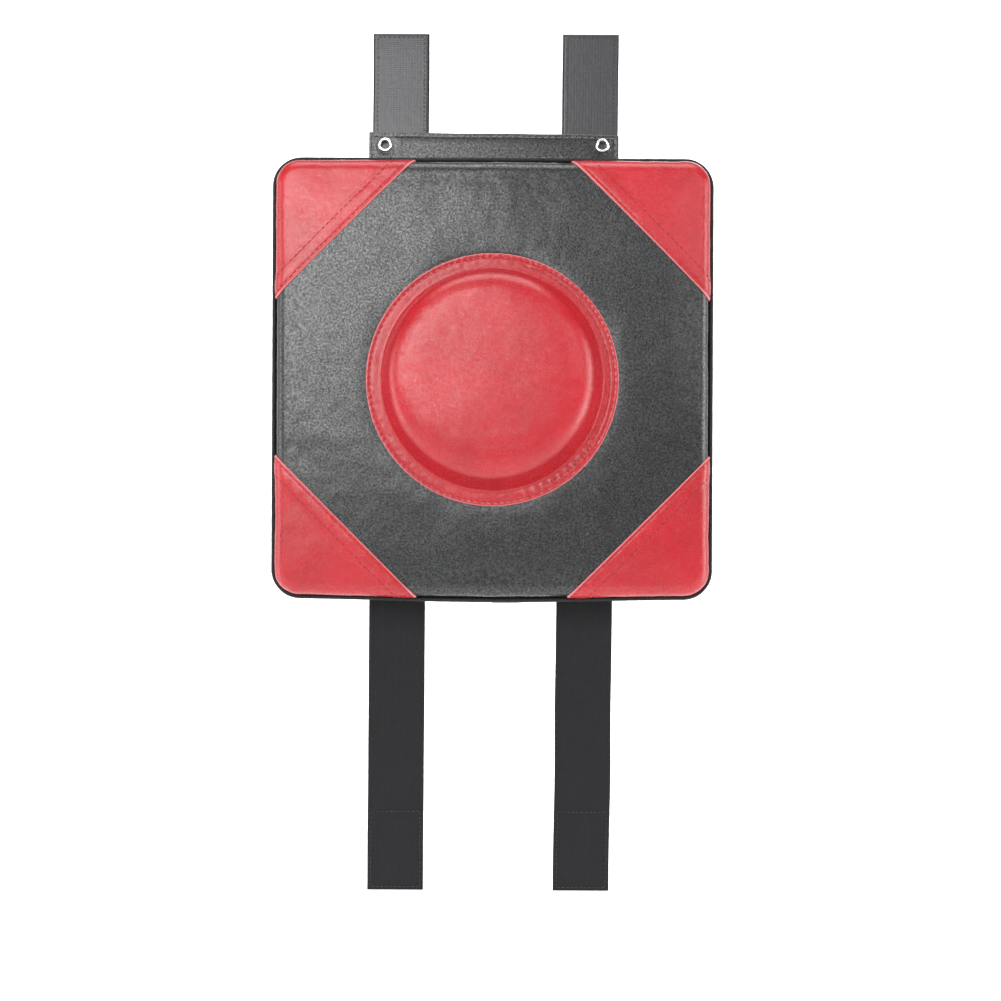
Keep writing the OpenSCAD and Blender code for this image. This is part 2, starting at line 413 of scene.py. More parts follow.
class Finish:
    """A material with one Principled shader. Its textures lie on the flat piece or, with on_node,
    in a node's own coordinates."""

    def __init__(self, name, color, on_node=False, **constants):
        self.material = bpy.data.materials.new(name)
        self.material.use_nodes = True
        self.tree = self.material.node_tree
        self.shader = self.tree.nodes["Principled BSDF"]
        self.color = color
        if on_node:
            self.place = self.add("TexCoord").outputs["Object"]
        else:
            self.place = self.attribute("flat", "Vector")
        self.set(**constants)

    def feed(self, socket, value):
        """Links a node's output to the socket, or sets the socket to a constant."""
        if isinstance(value, bpy.types.NodeSocket):
            self.tree.links.new(value, socket)
        else:
            socket.default_value = value

    def add(self, kind, inputs=None, **settings):
        node = self.tree.nodes.new("ShaderNode" + kind)
        for key, value in settings.items():
            setattr(node, key, value)
        for key, value in (inputs or {}).items():
            self.feed(node.inputs[key], value)
        return node

    def set(self, **values):
        """Sets or links sockets of the shader, and returns the material."""
        for name, value in values.items():
            self.feed(self.shader.inputs[name.replace("_", " ")], value)
        return self.material

    def tone(self, factor):
        return shade(self.color, factor)

    def attribute(self, name, output="Fac"):
        return self.add("Attribute", attribute_name=name).outputs[output]

    def math(self, operation, a, b=0.0):
        return self.add("Math", {0: a, 1: b}, operation=operation).outputs[0]

    def vector(self, operation, a, inputs):
        return self.add("VectorMath", {0: a, **inputs}, operation=operation).outputs[0]

    def noise(self, size, detail=2.0, stretch=(1.0, 1.0, 1.0)):
        """Noise from 0 to 1 whose lumps are about that size, and finer along a stretched axis."""
        place = self.vector("MULTIPLY", self.place, {1: stretch})
        return self.add("TexNoise", {"Vector": place, "Scale": 1 / size, "Detail": detail}).outputs["Fac"]

    def waves(self, axis, pitch):
        """Ripples from -1 to 1 along one axis, a pitch apart."""
        along = self.add("SeparateXYZ", {"Vector": self.place}).outputs[axis]
        return self.math("SINE", self.math("MULTIPLY", along, 2 * math.pi / pitch))

    def between(self, value, low, high, to_low=0.0, to_high=1.0):
        ends = {"From Min": low, "From Max": high, "To Min": to_low, "To Max": to_high}
        return self.add("MapRange", {"Value": value, **ends}).outputs["Result"]

    def mix(self, share, a, b):
        return self.add("Mix", {0: share, 6: a, 7: b}, data_type="RGBA").outputs[2]

    def bump(self, height, distance, strength=1.0, below=None):
        inputs = {"Height": height, "Distance": distance, "Strength": strength}
        if below is not None:
            inputs["Normal"] = below
        return self.add("Bump", inputs).outputs["Normal"]


def leather(name, color, worn, rough, grain, relief, speckle, gloss=0.5):
    """Grained synthetic leather: flat pebbles with creases between them, each with its own gloss
    and tone, over a broad unevenness, and worn edges, with painted shade darkening the creases."""
    f = Finish(name, color)
    warp = f.add("TexNoise", {"Vector": f.place, "Scale": 1 / (4 * grain), "Detail": 1.0})
    bent = f.vector("SCALE", warp.outputs["Color"], {3: 0.9 * grain})
    spot = {"Vector": f.vector("ADD", f.place, {1: bent}), "Scale": 1 / grain}
    cells = f.add("TexVoronoi", spot, feature="DISTANCE_TO_EDGE")
    pebble = f.between(cells.outputs["Distance"], 0.0, 0.14)
    parts = f.add("SeparateColor", {"Color": f.add("TexVoronoi", spot).outputs["Color"]}).outputs
    blotch = f.noise(7 * MM, 3.0)
    wear = f.attribute("wear")
    base = f.mix(f.between(f.noise(38 * MM, 3.0), 0.3, 0.7), f.tone(0.88), f.tone(1.12))
    base = f.mix(f.between(blotch, 0.35, 0.7, 0.0, 0.6 * speckle), base, f.tone(1.3))
    base = f.mix(f.between(parts[0], 0.0, 1.0, 0.0, speckle), base, f.tone(0.55))
    # painted shade: the base colour darkens towards 0.45 in the creases between pebbles
    base = f.mix(f.between(pebble, 0.0, 0.9, 0.2 + speckle, 0.0), base, f.tone(0.45))
    rubbed = f.between(f.noise(1.2 * MM), 0.25, 0.5, 0.6, 1.0)
    base = f.mix(f.math("MULTIPLY", wear, rubbed), base, worn)
    matt = f.between(blotch, 0.2, 0.8, rough - 0.04, rough + 0.06)
    matt = f.math("ADD", matt, f.between(parts[1], 0.0, 1.0, -0.1 * speckle, 0.4 * speckle))
    matt = f.math("ADD", matt, f.between(pebble, 0.0, 1.0, 0.15, 0.0))
    dull, bright = gloss * (1 - 1.8 * speckle), gloss * (1 + 2.2 * speckle)
    shine = f.between(f.noise(1.5 * MM), 0.32, 0.68, dull, bright)
    shine = f.math("MULTIPLY", shine, f.between(wear, -1.0, 0.0, 0.05, 1.0))
    normal = f.bump(pebble, relief, 0.7)
    normal = f.bump(f.noise(0.35 * MM, 3.0), 0.015 * MM, 0.5, normal)
    normal = f.bump(blotch, 0.3 * MM, 0.3, normal)
    return f.set(Base_Color=base, Roughness=matt, Specular_IOR_Level=shine, Normal=normal)


def woven(name, color):
    """Webbing: a plain weave of thick yarns, read across and along the strap."""
    f = Finish(name, color, Specular_IOR_Level=0.22, Sheen_Weight=0.08, Sheen_Roughness=0.4)
    across, along = 1.25 * MM, 0.95 * MM
    weave = f.between(f.math("MULTIPLY", f.waves("X", across), f.waves("Z", along)), -1.0, 1.0)
    ribs = f.between(f.waves("X", 4 * across), -1, 1)
    yarn = f.noise(0.6 * MM, 3.0, (1.0, 1.0, 0.15))
    # painted shade and highlight: the colour follows the weave's height, darker in its hollows and
    # lighter on its crests
    base = f.mix(weave, f.tone(0.62), f.tone(1.2))
    base = f.mix(f.between(yarn, 0.35, 0.7, 0.0, 0.5), base, f.tone(1.5))
    base = f.mix(f.between(f.noise(20 * MM, 3.0), 0.3, 0.7, 0.0, 0.35), base, f.tone(0.75))
    base = f.mix(f.attribute("wear"), base, f.tone(0.4))
    normal = f.bump(weave, 0.16 * MM, 0.8)
    normal = f.bump(ribs, 0.10 * MM, 0.5, normal)
    normal = f.bump(yarn, 0.08 * MM, 0.5, normal)
    return f.set(Base_Color=base, Roughness=f.between(weave, 0.0, 1.0, 0.9, 0.62), Normal=normal)


def napped(name, color):
    """The soft side of hook and loop tape: a felt of fine loops over a knitted ground."""
    f = Finish(name, color, Specular_IOR_Level=0.55, Sheen_Weight=0.06, Sheen_Roughness=0.5)
    knit = f.between(f.math("ADD", f.waves("Z", 1.5 * MM), f.waves("X", 2.1 * MM)), -2, 2)
    loops = f.noise(0.45 * MM, 4.0)
    base = f.mix(f.between(loops, 0.3, 0.7), f.tone(0.6), f.tone(1.35))
    base = f.mix(f.between(f.noise(5 * MM, 3.0), 0.35, 0.7, 0.0, 0.4), base, f.tone(1.3))
    # painted shade: the colour darkens in the low valleys of the knitted ground
    base = f.mix(f.between(knit, 0.0, 1.0, 0.3, 0.0), base, f.tone(0.55))
    base = f.mix(f.attribute("wear"), base, f.tone(0.45))
    normal = f.bump(loops, 0.08 * MM, 0.5, f.bump(knit, 0.1 * MM, 0.4))
    return f.set(Base_Color=base, Roughness=f.between(loops, 0, 1, 0.22, 0.42), Normal=normal)


def thread(name, color):
    """Twisted sewing thread."""
    f = Finish(name, color, Specular_IOR_Level=0.3, Sheen_Weight=0.06)
    parts = f.add("SeparateXYZ", {"Vector": f.place}).outputs
    lay = f.math("ADD", parts["X"], f.math("MULTIPLY", parts["Y"], 0.8))
    twist = f.between(f.math("SINE", f.math("MULTIPLY", lay, 2 * math.pi / (0.42 * MM))), -1, 1)
    # painted shade and highlight: darker in the twist's grooves and lighter on its ridges
    base = f.mix(twist, f.tone(0.55), f.tone(1.25))
    base = f.mix(f.between(f.noise(2.5 * MM), 0.3, 0.7, 0.0, 0.4), base, f.tone(0.7))
    rough = f.between(twist, 0, 1, 0.7, 0.45)
    return f.set(Base_Color=base, Roughness=rough, Normal=f.bump(twist, 0.12 * MM, 0.8))


def plated(name, color):
    """Nickel plate with fine scratches and a little tarnish."""
    f = Finish(name, color, Metallic=1.0)
    scratches = f.noise(0.3 * MM, 4.0, (1.0, 1.0, 7.0))
    tarnish = f.noise(2.4 * MM, 3.0)
    base = f.mix(f.between(tarnish, 0.45, 0.75, 0.0, 0.6), color, f.tone(0.62))
    rough = f.between(scratches, 0.3, 0.7, 0.12, 0.26)
    rough = f.math("ADD", rough, f.between(tarnish, 0.4, 0.8, 0.0, 0.1))
    return f.set(Base_Color=base, Roughness=rough, Normal=f.bump(scratches, 0.02 * MM, 0.4))


def cellular(name, color, cell, on_node=False):
    """Foam: open cells of that size."""
    f = Finish(name, color, on_node, Roughness=0.95, Specular_IOR_Level=0.2)
    cells = f.add("TexVoronoi", {"Vector": f.place, "Scale": 1 / cell}, feature="SMOOTH_F1")
    hollow = f.between(cells.outputs["Distance"], 0.1, 0.6)
    # painted shade: the colour darkens towards the middle of each cell's hollow
    base = f.mix(hollow, f.tone(0.7), color)
    base = f.mix(f.between(f.noise(30 * MM), 0.3, 0.7, 0.0, 0.3), base, f.tone(0.82))
    return f.set(Base_Color=base, Normal=f.bump(hollow, 0.3 * MM, 0.8))


def moulded(name, color):
    """The stiff nylon of hook tape, with the weave of its ground."""
    f = Finish(name, color, Specular_IOR_Level=0.5)
    weave = f.between(f.math("MULTIPLY", f.waves("Z", 0.75 * MM), f.waves("X", 0.75 * MM)), -1, 1)
    uneven = f.noise(3 * MM, 3.0)
    # painted shade and highlight: the colour follows the weave's height, darker in its hollows and
    # lighter on its crests
    base = f.mix(weave, f.tone(0.7), f.tone(1.2))
    base = f.mix(f.between(uneven, 0.4, 0.7, 0.0, 0.4), base, f.tone(1.5))
    rough = f.between(uneven, 0, 1, 0.35, 0.6)
    return f.set(Base_Color=base, Roughness=rough, Normal=f.bump(weave, 0.1 * MM))


BLACK = leather(
    "black_leather", (0.014, 0.0145, 0.0155, 1), worn=(0.11, 0.11, 0.115, 1),
    rough=0.18, grain=1.15 * MM, relief=0.03 * MM, speckle=0.26, gloss=0.54,
)
BLACK_TRIM = leather(
    "piping_leather", (0.014, 0.014, 0.015, 1), worn=(0.08, 0.08, 0.08, 1),
    rough=0.55, grain=0.8 * MM, relief=0.05 * MM, speckle=0.2, gloss=0.2,
)
RED = leather(
    "red_leather", (0.364, 0.008, 0.014, 1), worn=(0.58, 0.17, 0.18, 1),
    rough=0.2, grain=1.0 * MM, relief=0.035 * MM, speckle=0.16,
)
WEBBING = woven("webbing", (0.009, 0.009, 0.0105, 1))
LOOPS = napped("loop_tape", (0.027, 0.027, 0.030, 1))
HOOKS = moulded("hook_tape", (0.03, 0.03, 0.032, 1))
RED_THREAD = thread("red_thread", (0.33, 0.008, 0.013, 1))
GREY_THREAD = thread("grey_thread", (0.22, 0.22, 0.225, 1))
BLACK_THREAD = thread("black_thread", (0.03, 0.03, 0.032, 1))
NICKEL = plated("nickel", (0.78, 0.77, 0.75, 1))
SOFT_FOAM = cellular("soft_foam", (0.86, 0.84, 0.76, 1), 1.4 * MM)
FIRM_FOAM = cellular("firm_foam", (0.30, 0.31, 0.32, 1), 0.9 * MM)
BOARD = cellular("board", (0.35, 0.35, 0.36, 1), 0.7 * MM, on_node=True)

reinforcement = frame["nodes"]["header_reinforcement"]
for slot_material in reinforcement.material_slots:
    slot_material.material = BOARD
if not reinforcement.material_slots:
    reinforcement.data.materials.append(BOARD)

# ---------------------------------------------------------------- the front cover
HIDDEN_R = 79 * MM      # the panel is plain inside this, under the target
HELD_R = FLANGE_R + 0.5 * MM
FACE_PUFF = 1.3 * MM
SHOULDER_PUFF = 0.12 * MM


def front_skin():
    """The outer surface of the front cover, from its seam over the shoulder to its middle."""
    tuck = [(SEAM_RHO - 2.2 * MM, SEAM_Y + 1.2 * MM), (SEAM_RHO - 0.8 * MM, SEAM_Y + 0.9 * MM)]
    side = [(SEAM_RHO - 0.1 * MM, SEAM_Y + 0.4 * MM), (SEAM_RHO, SEAM_Y)]
    shoulder = quarter_round(SEAM_RHO - SHOULDER_R, FRONT_Y + SHOULDER_R, SHOULDER_R, 7)
    rings = around_pad([*tuck, *side, *shoulder])
    columns = len(rings[0])
    held_rows = len(tuck) + len(side)
    edge = rings[-1][:, [0, 2]] - [0, PAD_Z]
    circle = edge / np.linalg.norm(edge, axis=1, keepdims=True) * HIDDEN_R
    rings += [at_height(edge + (circle - edge) * t, FRONT_Y) for t in np.linspace(0, 1, 17)[1:]]
    rings += [at_height(circle * t, FRONT_Y) for t in (0.66, 0.33)]
    rings, middle = np.array(rings), np.array([[0, FRONT_Y, PAD_Z]])
    points = ring_mesh(rings, middle)[0]
    held = np.hypot(points[:, 0], points[:, 2] - TARGET_Z) < HELD_R
    held[: held_rows * columns] = True
    inwards = REACH + SEAM_RHO - np.abs(points[:, [0, 2]] - [0, PAD_Z]).max(axis=1)
    most = SHOULDER_PUFF + (FACE_PUFF - SHOULDER_PUFF) * fade(inwards, 3 * MM, 30 * MM)
    rings, middle = puffed(rings, held, most, middle=middle)
    points, faces = ring_mesh(refined(rings), middle)
    ups = normals_of(points, faces)
    from_middle = np.hypot(points[:, 0], points[:, 2] - TARGET_Z)
    outside = fade(from_middle, FLANGE_R, FLANGE_R + 12 * MM)
    in_front = fade(-points[:, 1], -SEAM_Y - 0.5 * MM, -SEAM_Y + 2.5 * MM)
    near_seam = in_front * fade(points[:, 1], FRONT_Y - 4 * MM, SEAM_Y - 2 * MM)
    uneven = 0.32 * MM * lumps(points, 26 * MM) + 0.12 * MM * lumps(points, 9 * MM, 1)
    puckers = 0.22 * MM * lumps(points, 6 * MM, 2)
    move = outside * in_front * uneven + near_seam * puckers
    return settled(points + ups * move[:, None]), faces


def dull_at_seam(points):
    """Wear of -1 on the cover's side, next to the piping."""
    return -fade(points[:, 1], SEAM_Y - 4.5 * MM, SEAM_Y - 2.2 * MM)


skin_points, skin_faces = front_skin()
cover_shell = thick(skin_points, skin_faces, SKIN_T)
cover = attach(
    piece("front_cover_leather", *cover_shell, BLACK, wear=dull_at_seam(cover_shell[0])),
    "pad", ["front_cover"],
)

# ---------------------------------------------------------------- corner patches
ROW_1 = 2.2 * MM        # the two rows of stitches, from the patch's edge
ROW_2 = 9.8 * MM
# Height of a patch above the cover, by the distance from its edge: a turned hem with two rows
HEM = np.array([
    [0, 0.85], [0.3, 1.15], [0.7, 1.32], [1.3, 1.38], [1.8, 1.32], [2.2, 1.2], [2.6, 1.32],
    [3.4, 1.45], [6.0, 1.5], [9.1, 1.38], [9.8, 1.2], [10.5, 1.25], [11.8, 1.05], [14, 1.0],
]) * MM
PALE_EDGE = 0.5 * MM
RED_THREAD_R = 0.27 * MM
PATCH_FOOT_Y = SEAM_Y - 0.05 * MM
NEAR = 0.001 * MM


def patch_surface(edge, way):
    """The cover's surface under a patch, cut along the lines of its hem: points, normals, how far
    each point lies inside the patch's long edge, and faces."""
    middle = Vector((0, 0, PAD_Z))
    bm = bmesh.new()
    source = raw_mesh("source", skin_points, skin_faces)
    bm.from_mesh(source)
    bpy.data.meshes.remove(source)
    outside = [v for v in bm.verts if (v.co - middle).dot(way) < edge - 15 * MM]
    bmesh.ops.delete(bm, geom=outside, context="VERTS")
    cuts = [(middle + way * (edge + distance), way) for distance in HEM[:, 0]]
    for spot, across in [*cuts, (Vector((0, PATCH_FOOT_Y, 0)), (0, 1, 0))]:
        geom = [*bm.verts, *bm.edges, *bm.faces]
        bmesh.ops.bisect_plane(bm, geom=geom, plane_co=spot, plane_no=across)
    bm.normal_update()
    bm.verts.index_update()
    points = np.array([v.co for v in bm.verts])
    ups = np.array([v.normal for v in bm.verts])
    inside = (points - np.array(middle)) @ np.array(way) - edge
    kept = (inside > -NEAR) & (points[:, 1] < PATCH_FOOT_Y + NEAR)
    order = np.cumsum(kept) - 1
    faces = [
        tuple(int(order[v.index]) for v in f.verts)
        for f in bm.faces if all(kept[v.index] for v in f.verts)
    ]
    bm.free()
    return points[kept], ups[kept], inside[kept], faces


def patch_stitching(name, side, end, edge, tree):
    """Two rows of stitches along a patch's long edge."""
    along = np.array([-end, side]) / math.sqrt(2)
    out = np.array([side, end]) / math.sqrt(2)
    reach = np.linspace(-1, 1, 900)[:, None] * (2 * (REACH + SEAM_RHO) - edge)
    rows = []
    for row in (ROW_1, ROW_2):
        spots, ups = drawn(tree, out * (edge + row) + along * reach + [0, PAD_Z])
        above = spots[:, 1] < SEAM_Y - 0.8 * MM
        rows.append((spots[above], ups[above]))
    return stitched(name, rows, RED_THREAD, "pad", radius=RED_THREAD_R)


def corner_patch(side, end):
    """A triangle of leather over one corner, sewn down along its long edge with two rows."""
    name = f"corner_patch_{END_NAMES[end]}_{SIDE_NAMES[side]}"
    low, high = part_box(name)
    height = max(abs(low.z - PAD_Z), abs(high.z - PAD_Z))
    edge = (min(abs(low.x), abs(high.x)) + height) / math.sqrt(2)
    under, ups, inside, faces = patch_surface(edge, Vector((side, 0, end)).normalized())
    rise = np.interp(inside, *HEM.T) * (0.55 + 0.45 * fade(PATCH_FOOT_Y - under[:, 1], 0, 2.5 * MM))
    rise += 0.12 * MM * lumps(under, 7 * MM, 3) * fade(inside, 2 * MM, 5 * MM)
    outer = under + ups * rise[:, None]
    points, shell_faces = shell(outer, under + ups * 0.04 * MM, faces)
    pale = np.tile(1 - fade(inside, 0.5 * PALE_EDGE, 1.4 * PALE_EDGE), 2) + dull_at_seam(points)
    patch = piece(name + "_leather", points, shell_faces, RED, wear=pale)
    attach(patch, "pad", [name])
    sewn = patch_stitching(name + "_stitching", side, end, edge, facing(outer, faces))


for patch_side in (LEFT, RIGHT):
    for patch_end in (TOP, BOTTOM):
        corner_patch(patch_side, patch_end)

# ---------------------------------------------------------------- the round target
FLANGE_ROW = FLANGE_R - 2.7 * MM
FLANGE_ROW_2 = FLANGE_R - 5.7 * MM
TARGET_COLUMNS = 270
TARGET_PUFF = 0.9 * MM
DOME_LEAN = np.array([-1.1, 0, 1.4]) * MM     # how far the target's top lies off its foot's middle
# Height of the flange above the cover, by the distance from its edge
FLANGE = np.array([
    [0, 0.35], [0.05, 0.8], [0.5, 1.15], [1.4, 1.25], [2.7, 1.2], [4.2, 1.3], [5.7, 1.25], [7.6, 1.3],
]) * MM


def clock(points):
    """Degrees clockwise from the top, around the target's middle."""
    return np.degrees(np.arctan2(points[:, 0], points[:, 2] - TARGET_Z)) % 360


def target_profile():
    """(radius, height) of the cover's outer surface, from the flange's edge to near its axis."""
    rows = [(FLANGE_R - inset, height) for inset, height in FLANGE]
    held = len(rows)
    rows += [(DOME_BASE_R + 1.1 * MM, 1.2 * MM), (DOME_BASE_R + 0.1 * MM, 1.7 * MM)]
    lean = math.atan((DOME_BASE_R - DOME_TOP_R - DOME_EDGE_R) / (DOME_H - DOME_EDGE_R))
    foot = (DOME_BASE_R - 0.2 * MM, 3.0 * MM)
    arc = [
        (DOME_TOP_R + DOME_EDGE_R * math.cos(a), DOME_H - DOME_EDGE_R * (1 - math.sin(a)))
        for a in np.linspace(lean, math.pi / 2, 8)
    ]
    wall = [tuple(row) for row in np.linspace(foot, arc[0], 6)[:-1]]
    top = [(DOME_TOP_R * t, DOME_H) for t in (0.93, 0.84, 0.74, 0.63, 0.51, 0.39, 0.27, 0.15, 0.06)]
    return rows + wall + arc + top, held


def lathed(profile, place, columns):
    """Rings of points around an axis along Y. Heights in the profile are towards the front."""
    turn = np.arange(columns) * 2 * math.pi / columns
    return np.vstack([
        np.column_stack([
            place[0] + r * np.cos(turn), np.full(columns, place[1] - h), place[2] + r * np.sin(turn)
        ])
        for r, h in profile
    ])


def leaning(points):
    """The target's points, shifted by their share of its height: it isn't sewn on quite straight."""
    share = np.clip((FRONT_Y - points[:, 1]) / DOME_H, 0, 1)
    return points + share[:, None] * DOME_LEAN


def flange_relief(points, radius):
    """How far the flange sinks at its stitches, and rises where it is gathered and on its edge."""
    angle = clock(points)
    right = fade(angle, 12, 22) * (1 - fade(angle, 145, 158))
    rise = -0.35 * MM * dip(radius, FLANGE_ROW, 0.75 * MM)
    rise -= 0.30 * MM * dip(radius, FLANGE_ROW_2, 0.7 * MM) * right
    rise -= 0.25 * MM * dip(radius, DOME_BASE_R + 2.2 * MM, 1.0 * MM)
    around = np.radians(angle) * 2 * math.pi
    gathered = fade(angle, 112, 126) * (1 - fade(angle, 158, 170))
    gathered = gathered * dip(radius, (FLANGE_ROW + FLANGE_ROW_2) / 2, 3.2 * MM)
    ridges = np.cos(around * FLANGE_R / (6.7 * MM) + 1.8 * lumps(points, 14 * MM, 4))
    rise += gathered * 0.5 * MM * (0.8 + ridges)
    beads = np.cos(around * FLANGE_ROW / (4.3 * MM) + lumps(points, 20 * MM, 16))
    rise += 0.2 * MM * beads * dip(radius, FLANGE_R - 1.3 * MM, 1.2 * MM)
    return rise + 0.16 * MM * lumps(points, 3.5 * MM, 5) + 0.12 * MM * lumps(points, 9 * MM, 6)


def target_skin():
    """The outer surface of the target's cover, from its flange's edge to its middle."""
    profile, held_rows = target_profile()
    rings = lathed(profile, (0, FRONT_Y, TARGET_Z), TARGET_COLUMNS).reshape(len(profile), -1, 3)
    middle = np.array([[0, FRONT_Y - DOME_H, TARGET_Z]])
    held = np.arange(rings.shape[0] * rings.shape[1] + 1) < (held_rows + 1) * TARGET_COLUMNS
    rings, middle = puffed(rings, held, TARGET_PUFF, 5.0, middle)
    points, faces = ring_mesh(refined(rings), middle)
    ups = normals_of(points, faces)
    radius = np.hypot(points[:, 0], points[:, 2] - TARGET_Z)
    height = FRONT_Y - points[:, 1]
    flange = fade(radius, DOME_BASE_R + 1.5 * MM, DOME_BASE_R + 3 * MM)
    flange = flange * fade(height, 0.4 * MM, 1.0 * MM)
    dome = 1 - fade(radius, DOME_BASE_R - 2 * MM, DOME_BASE_R)
    uneven = 0.30 * MM * lumps(points, 30 * MM, 7) + 0.07 * MM * lumps(points, 8 * MM, 8)
    foot = dip(height, 4 * MM, 3 * MM) * dome
    creases = 0.22 * MM * lumps(points * [1, 0.3, 1], 4 * MM, 9) * foot
    move = flange * flange_relief(points, radius) + dome * uneven + creases
    return leaning(points + ups * move[:, None]), faces


target_points, target_faces = target_skin()
target_radius = np.hypot(target_points[:, 0], target_points[:, 2] - TARGET_Z)
target_pale = np.tile(fade(target_radius, FLANGE_R - 0.7 * MM, FLANGE_R - 0.1 * MM), 2)
target_shell = thick(target_points, target_faces, SKIN_T - 0.1 * MM)
target = attach(
    piece("target_cover_leather", *target_shell, RED, wear=target_pale),
    "pad", ["target_cover"],
)

target_tree = facing(target_points, target_faces)


def flange_row(radius, start, end):
    """A row of stitches on the flange, from one clock angle to another, in degrees."""
    turn = np.radians(np.linspace(start, end, round((end - start) * 2)))
    xz = np.column_stack([radius * np.sin(turn), radius * np.cos(turn) + TARGET_Z])
    return drawn(target_tree, xz)


stitched(
    "target_stitching",
    [flange_row(FLANGE_ROW, 0, 360), flange_row(FLANGE_ROW_2, 15, 152)],
    RED_THREAD, "pad", radius=RED_THREAD_R,
)

# ---------------------------------------------------------------- piping, gusset and back cover
PIPING_RIPPLE = 0.10 * MM
PIPING_OUT = 1.0 * MM   # how far the stuffed seam pushes the piping out


def piping(name, node):
    """A leather-covered cord around the pad."""
    low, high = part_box(node)
    radius = (high.y - low.y) / 2
    rho = high.x - REACH - radius + PIPING_OUT
    spots, ways = lap(2 * MM, 14)
    middle = at_height(spots + ways * rho, (low.y + high.y) / 2)
    outwards = at_height(ways, 0) - [0, 0, PAD_Z]
    rings = [
        middle + radius * (outwards * math.cos(a) + np.array([0, -math.sin(a), 0]))
        for a in np.linspace(0, 2 * math.pi, 14)[:-1]
    ]
    points = np.vstack(rings)
    faces = grid_faces(len(rings), len(middle), wrap=True, closed=True)
    ups = (points - np.tile(middle, (len(rings), 1))) / radius
    points = settled(points + ups * (PIPING_RIPPLE * lumps(points, 3.5 * MM, 10))[:, None])
    return attach(piece(name, points, faces, BLACK_TRIM), "pad", [node])


piping("front_piping_cord", "front_piping")
piping("back_piping_cord", "back_piping")

GUSSET_PUFF = 1.1 * MM
LAP_SEAM = 1.0 * MM     # how far the gusset's end stands proud where it overlaps itself


def gusset():
    """The wall around the pad, rounded in to both seams."""
    wall = gusset_high.x - REACH
    rear, front = gusset_high.y, gusset_low.y
    inset = [(4.8, -0.1), (2.6, 0.15), (1.1, 0.8), (0.35, 2.0), (0.0, 4.0)]
    profile = [(wall - rho * MM, rear - y * MM) for rho, y in inset]
    middle = np.linspace(rear - 7.5 * MM, front + 7.5 * MM, 4)
    profile += [(wall, y) for y in middle]
    profile += [(wall - rho * MM, front + y * MM) for rho, y in reversed(inset)]
    rings = np.array(around_pad(profile))
    row = np.repeat(np.arange(len(rings)), rings.shape[1])
    held = (row < 3) | (row > len(rings) - 4)
    rings, _ = puffed(rings, held, GUSSET_PUFF)
    points, faces = ring_mesh(refined(rings))
    ups = normals_of(points, faces)
    depth = (points[:, 1] - front) / (rear - front)
    open_wall = fade(depth, 0.02, 0.2) * (1 - fade(depth, 0.8, 0.98))
    corner = np.minimum(abs(points[:, 0]), abs(points[:, 2] - PAD_Z)) / REACH
    folds = 0.28 * MM * lumps(points * [1, 0.25, 1], 5 * MM, 11) * fade(corner, 0.85, 1.0)
    uneven = 0.25 * MM * lumps(points, 22 * MM, 12)
    over = (points[:, 2] < PAD_BOTTOM + 5 * MM) * fade(points[:, 0], -0.6 * MM, 0.6 * MM)
    over = over * (1 - fade(points[:, 0], 14 * MM, 26 * MM)) * LAP_SEAM * 0.5
    points = settled(points + ups * (open_wall * (folds + uneven) + over)[:, None])
    obj = attach(
        piece("side_gusset_leather", *thick(points, faces, SKIN_T), BLACK),
        "pad", ["side_gusset"],
    )


gusset()

BACK_PUFF = 1.8 * MM


def back_skin():
    """The back cover's outer surface, from its middle to the seam, puffed beside the straps."""
    spots, ways = lap(5 * MM, 6)
    rim = spots + ways * (BACK_RHO - 1.2 * MM)
    rings = [at_height(rim * t, BACK_Y) for t in np.linspace(0.06, 1, 26)]
    for rho, y in [(0.4, 0.12), (0.05, 0.5), (0.0, 1.1)]:
        rings.append(at_height(spots + ways * (BACK_RHO - rho * MM), BACK_Y - y * MM))
    rings, middle = np.array(rings), np.array([[0, BACK_Y, PAD_Z]])
    points = ring_mesh(rings, middle, True)[0]
    beside = abs(abs(points[:, 0]) - STRAP_X) - STRAP_W / 2
    held = beside < 1 * MM
    held[25 * len(spots) : -1] = True
    most = 0.1 * MM + BACK_PUFF * fade(beside, 1 * MM, 14 * MM)
    rings, middle = puffed(rings, held, most, middle=middle, inner_first=True)
    points, faces = ring_mesh(refined(rings), middle, True)
    beside = abs(abs(points[:, 0]) - STRAP_X) - STRAP_W / 2
    ups = normals_of(points, faces)
    uneven = 0.25 * MM * lumps(points, 24 * MM, 13) * fade(beside, 1 * MM, 10 * MM)
    under = beside < 3 * MM
    points = points + ups * uneven[:, None]
    points[under, 1] = np.minimum(points[under, 1], BACK_Y - 0.02 * MM)
    return settled(points), faces


back_points, back_faces = back_skin()
back = attach(
    piece("back_cover_leather", *thick(back_points, back_faces, SKIN_T - 0.1 * MM), BLACK),
    "pad", ["back_cover"],
)


# ---------------------------------------------------------------- the foam inside
FOAM_CUT = 0.4 * MM     # how much further in the foam's side lies than its CAD node's


def capped(rings, first_middle, last_middle):
    """Points and faces of rings of points, closed by a fan at each end."""
    points = np.vstack([*rings, first_middle, last_middle])
    columns = len(rings[0])
    count = len(rings) * columns
    faces = grid_faces(len(rings), columns, wrap=True)
    faces += [tuple(reversed(f)) for f in fan_faces(0, columns, count)]
    faces += fan_faces(count - columns, columns, count + 1)
    return points, faces


def foam_profile(node, radius_front, radius_back):
    """(rho, y) along a foam's side with rounded edges, from back to front."""
    low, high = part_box(node)
    rho = high.x - REACH - FOAM_CUT
    rear = [
        (rho - radius_back * (1 - math.cos(a)), high.y - radius_back * (1 - math.sin(a)))
        for a in np.linspace(math.pi / 2, 0, 5)
    ]
    front = [
        (rho - radius_front * (1 - math.cos(a)), low.y + radius_front * (1 - math.sin(a)))
        for a in np.linspace(0, math.pi / 2, 7)
    ]
    return rear + front


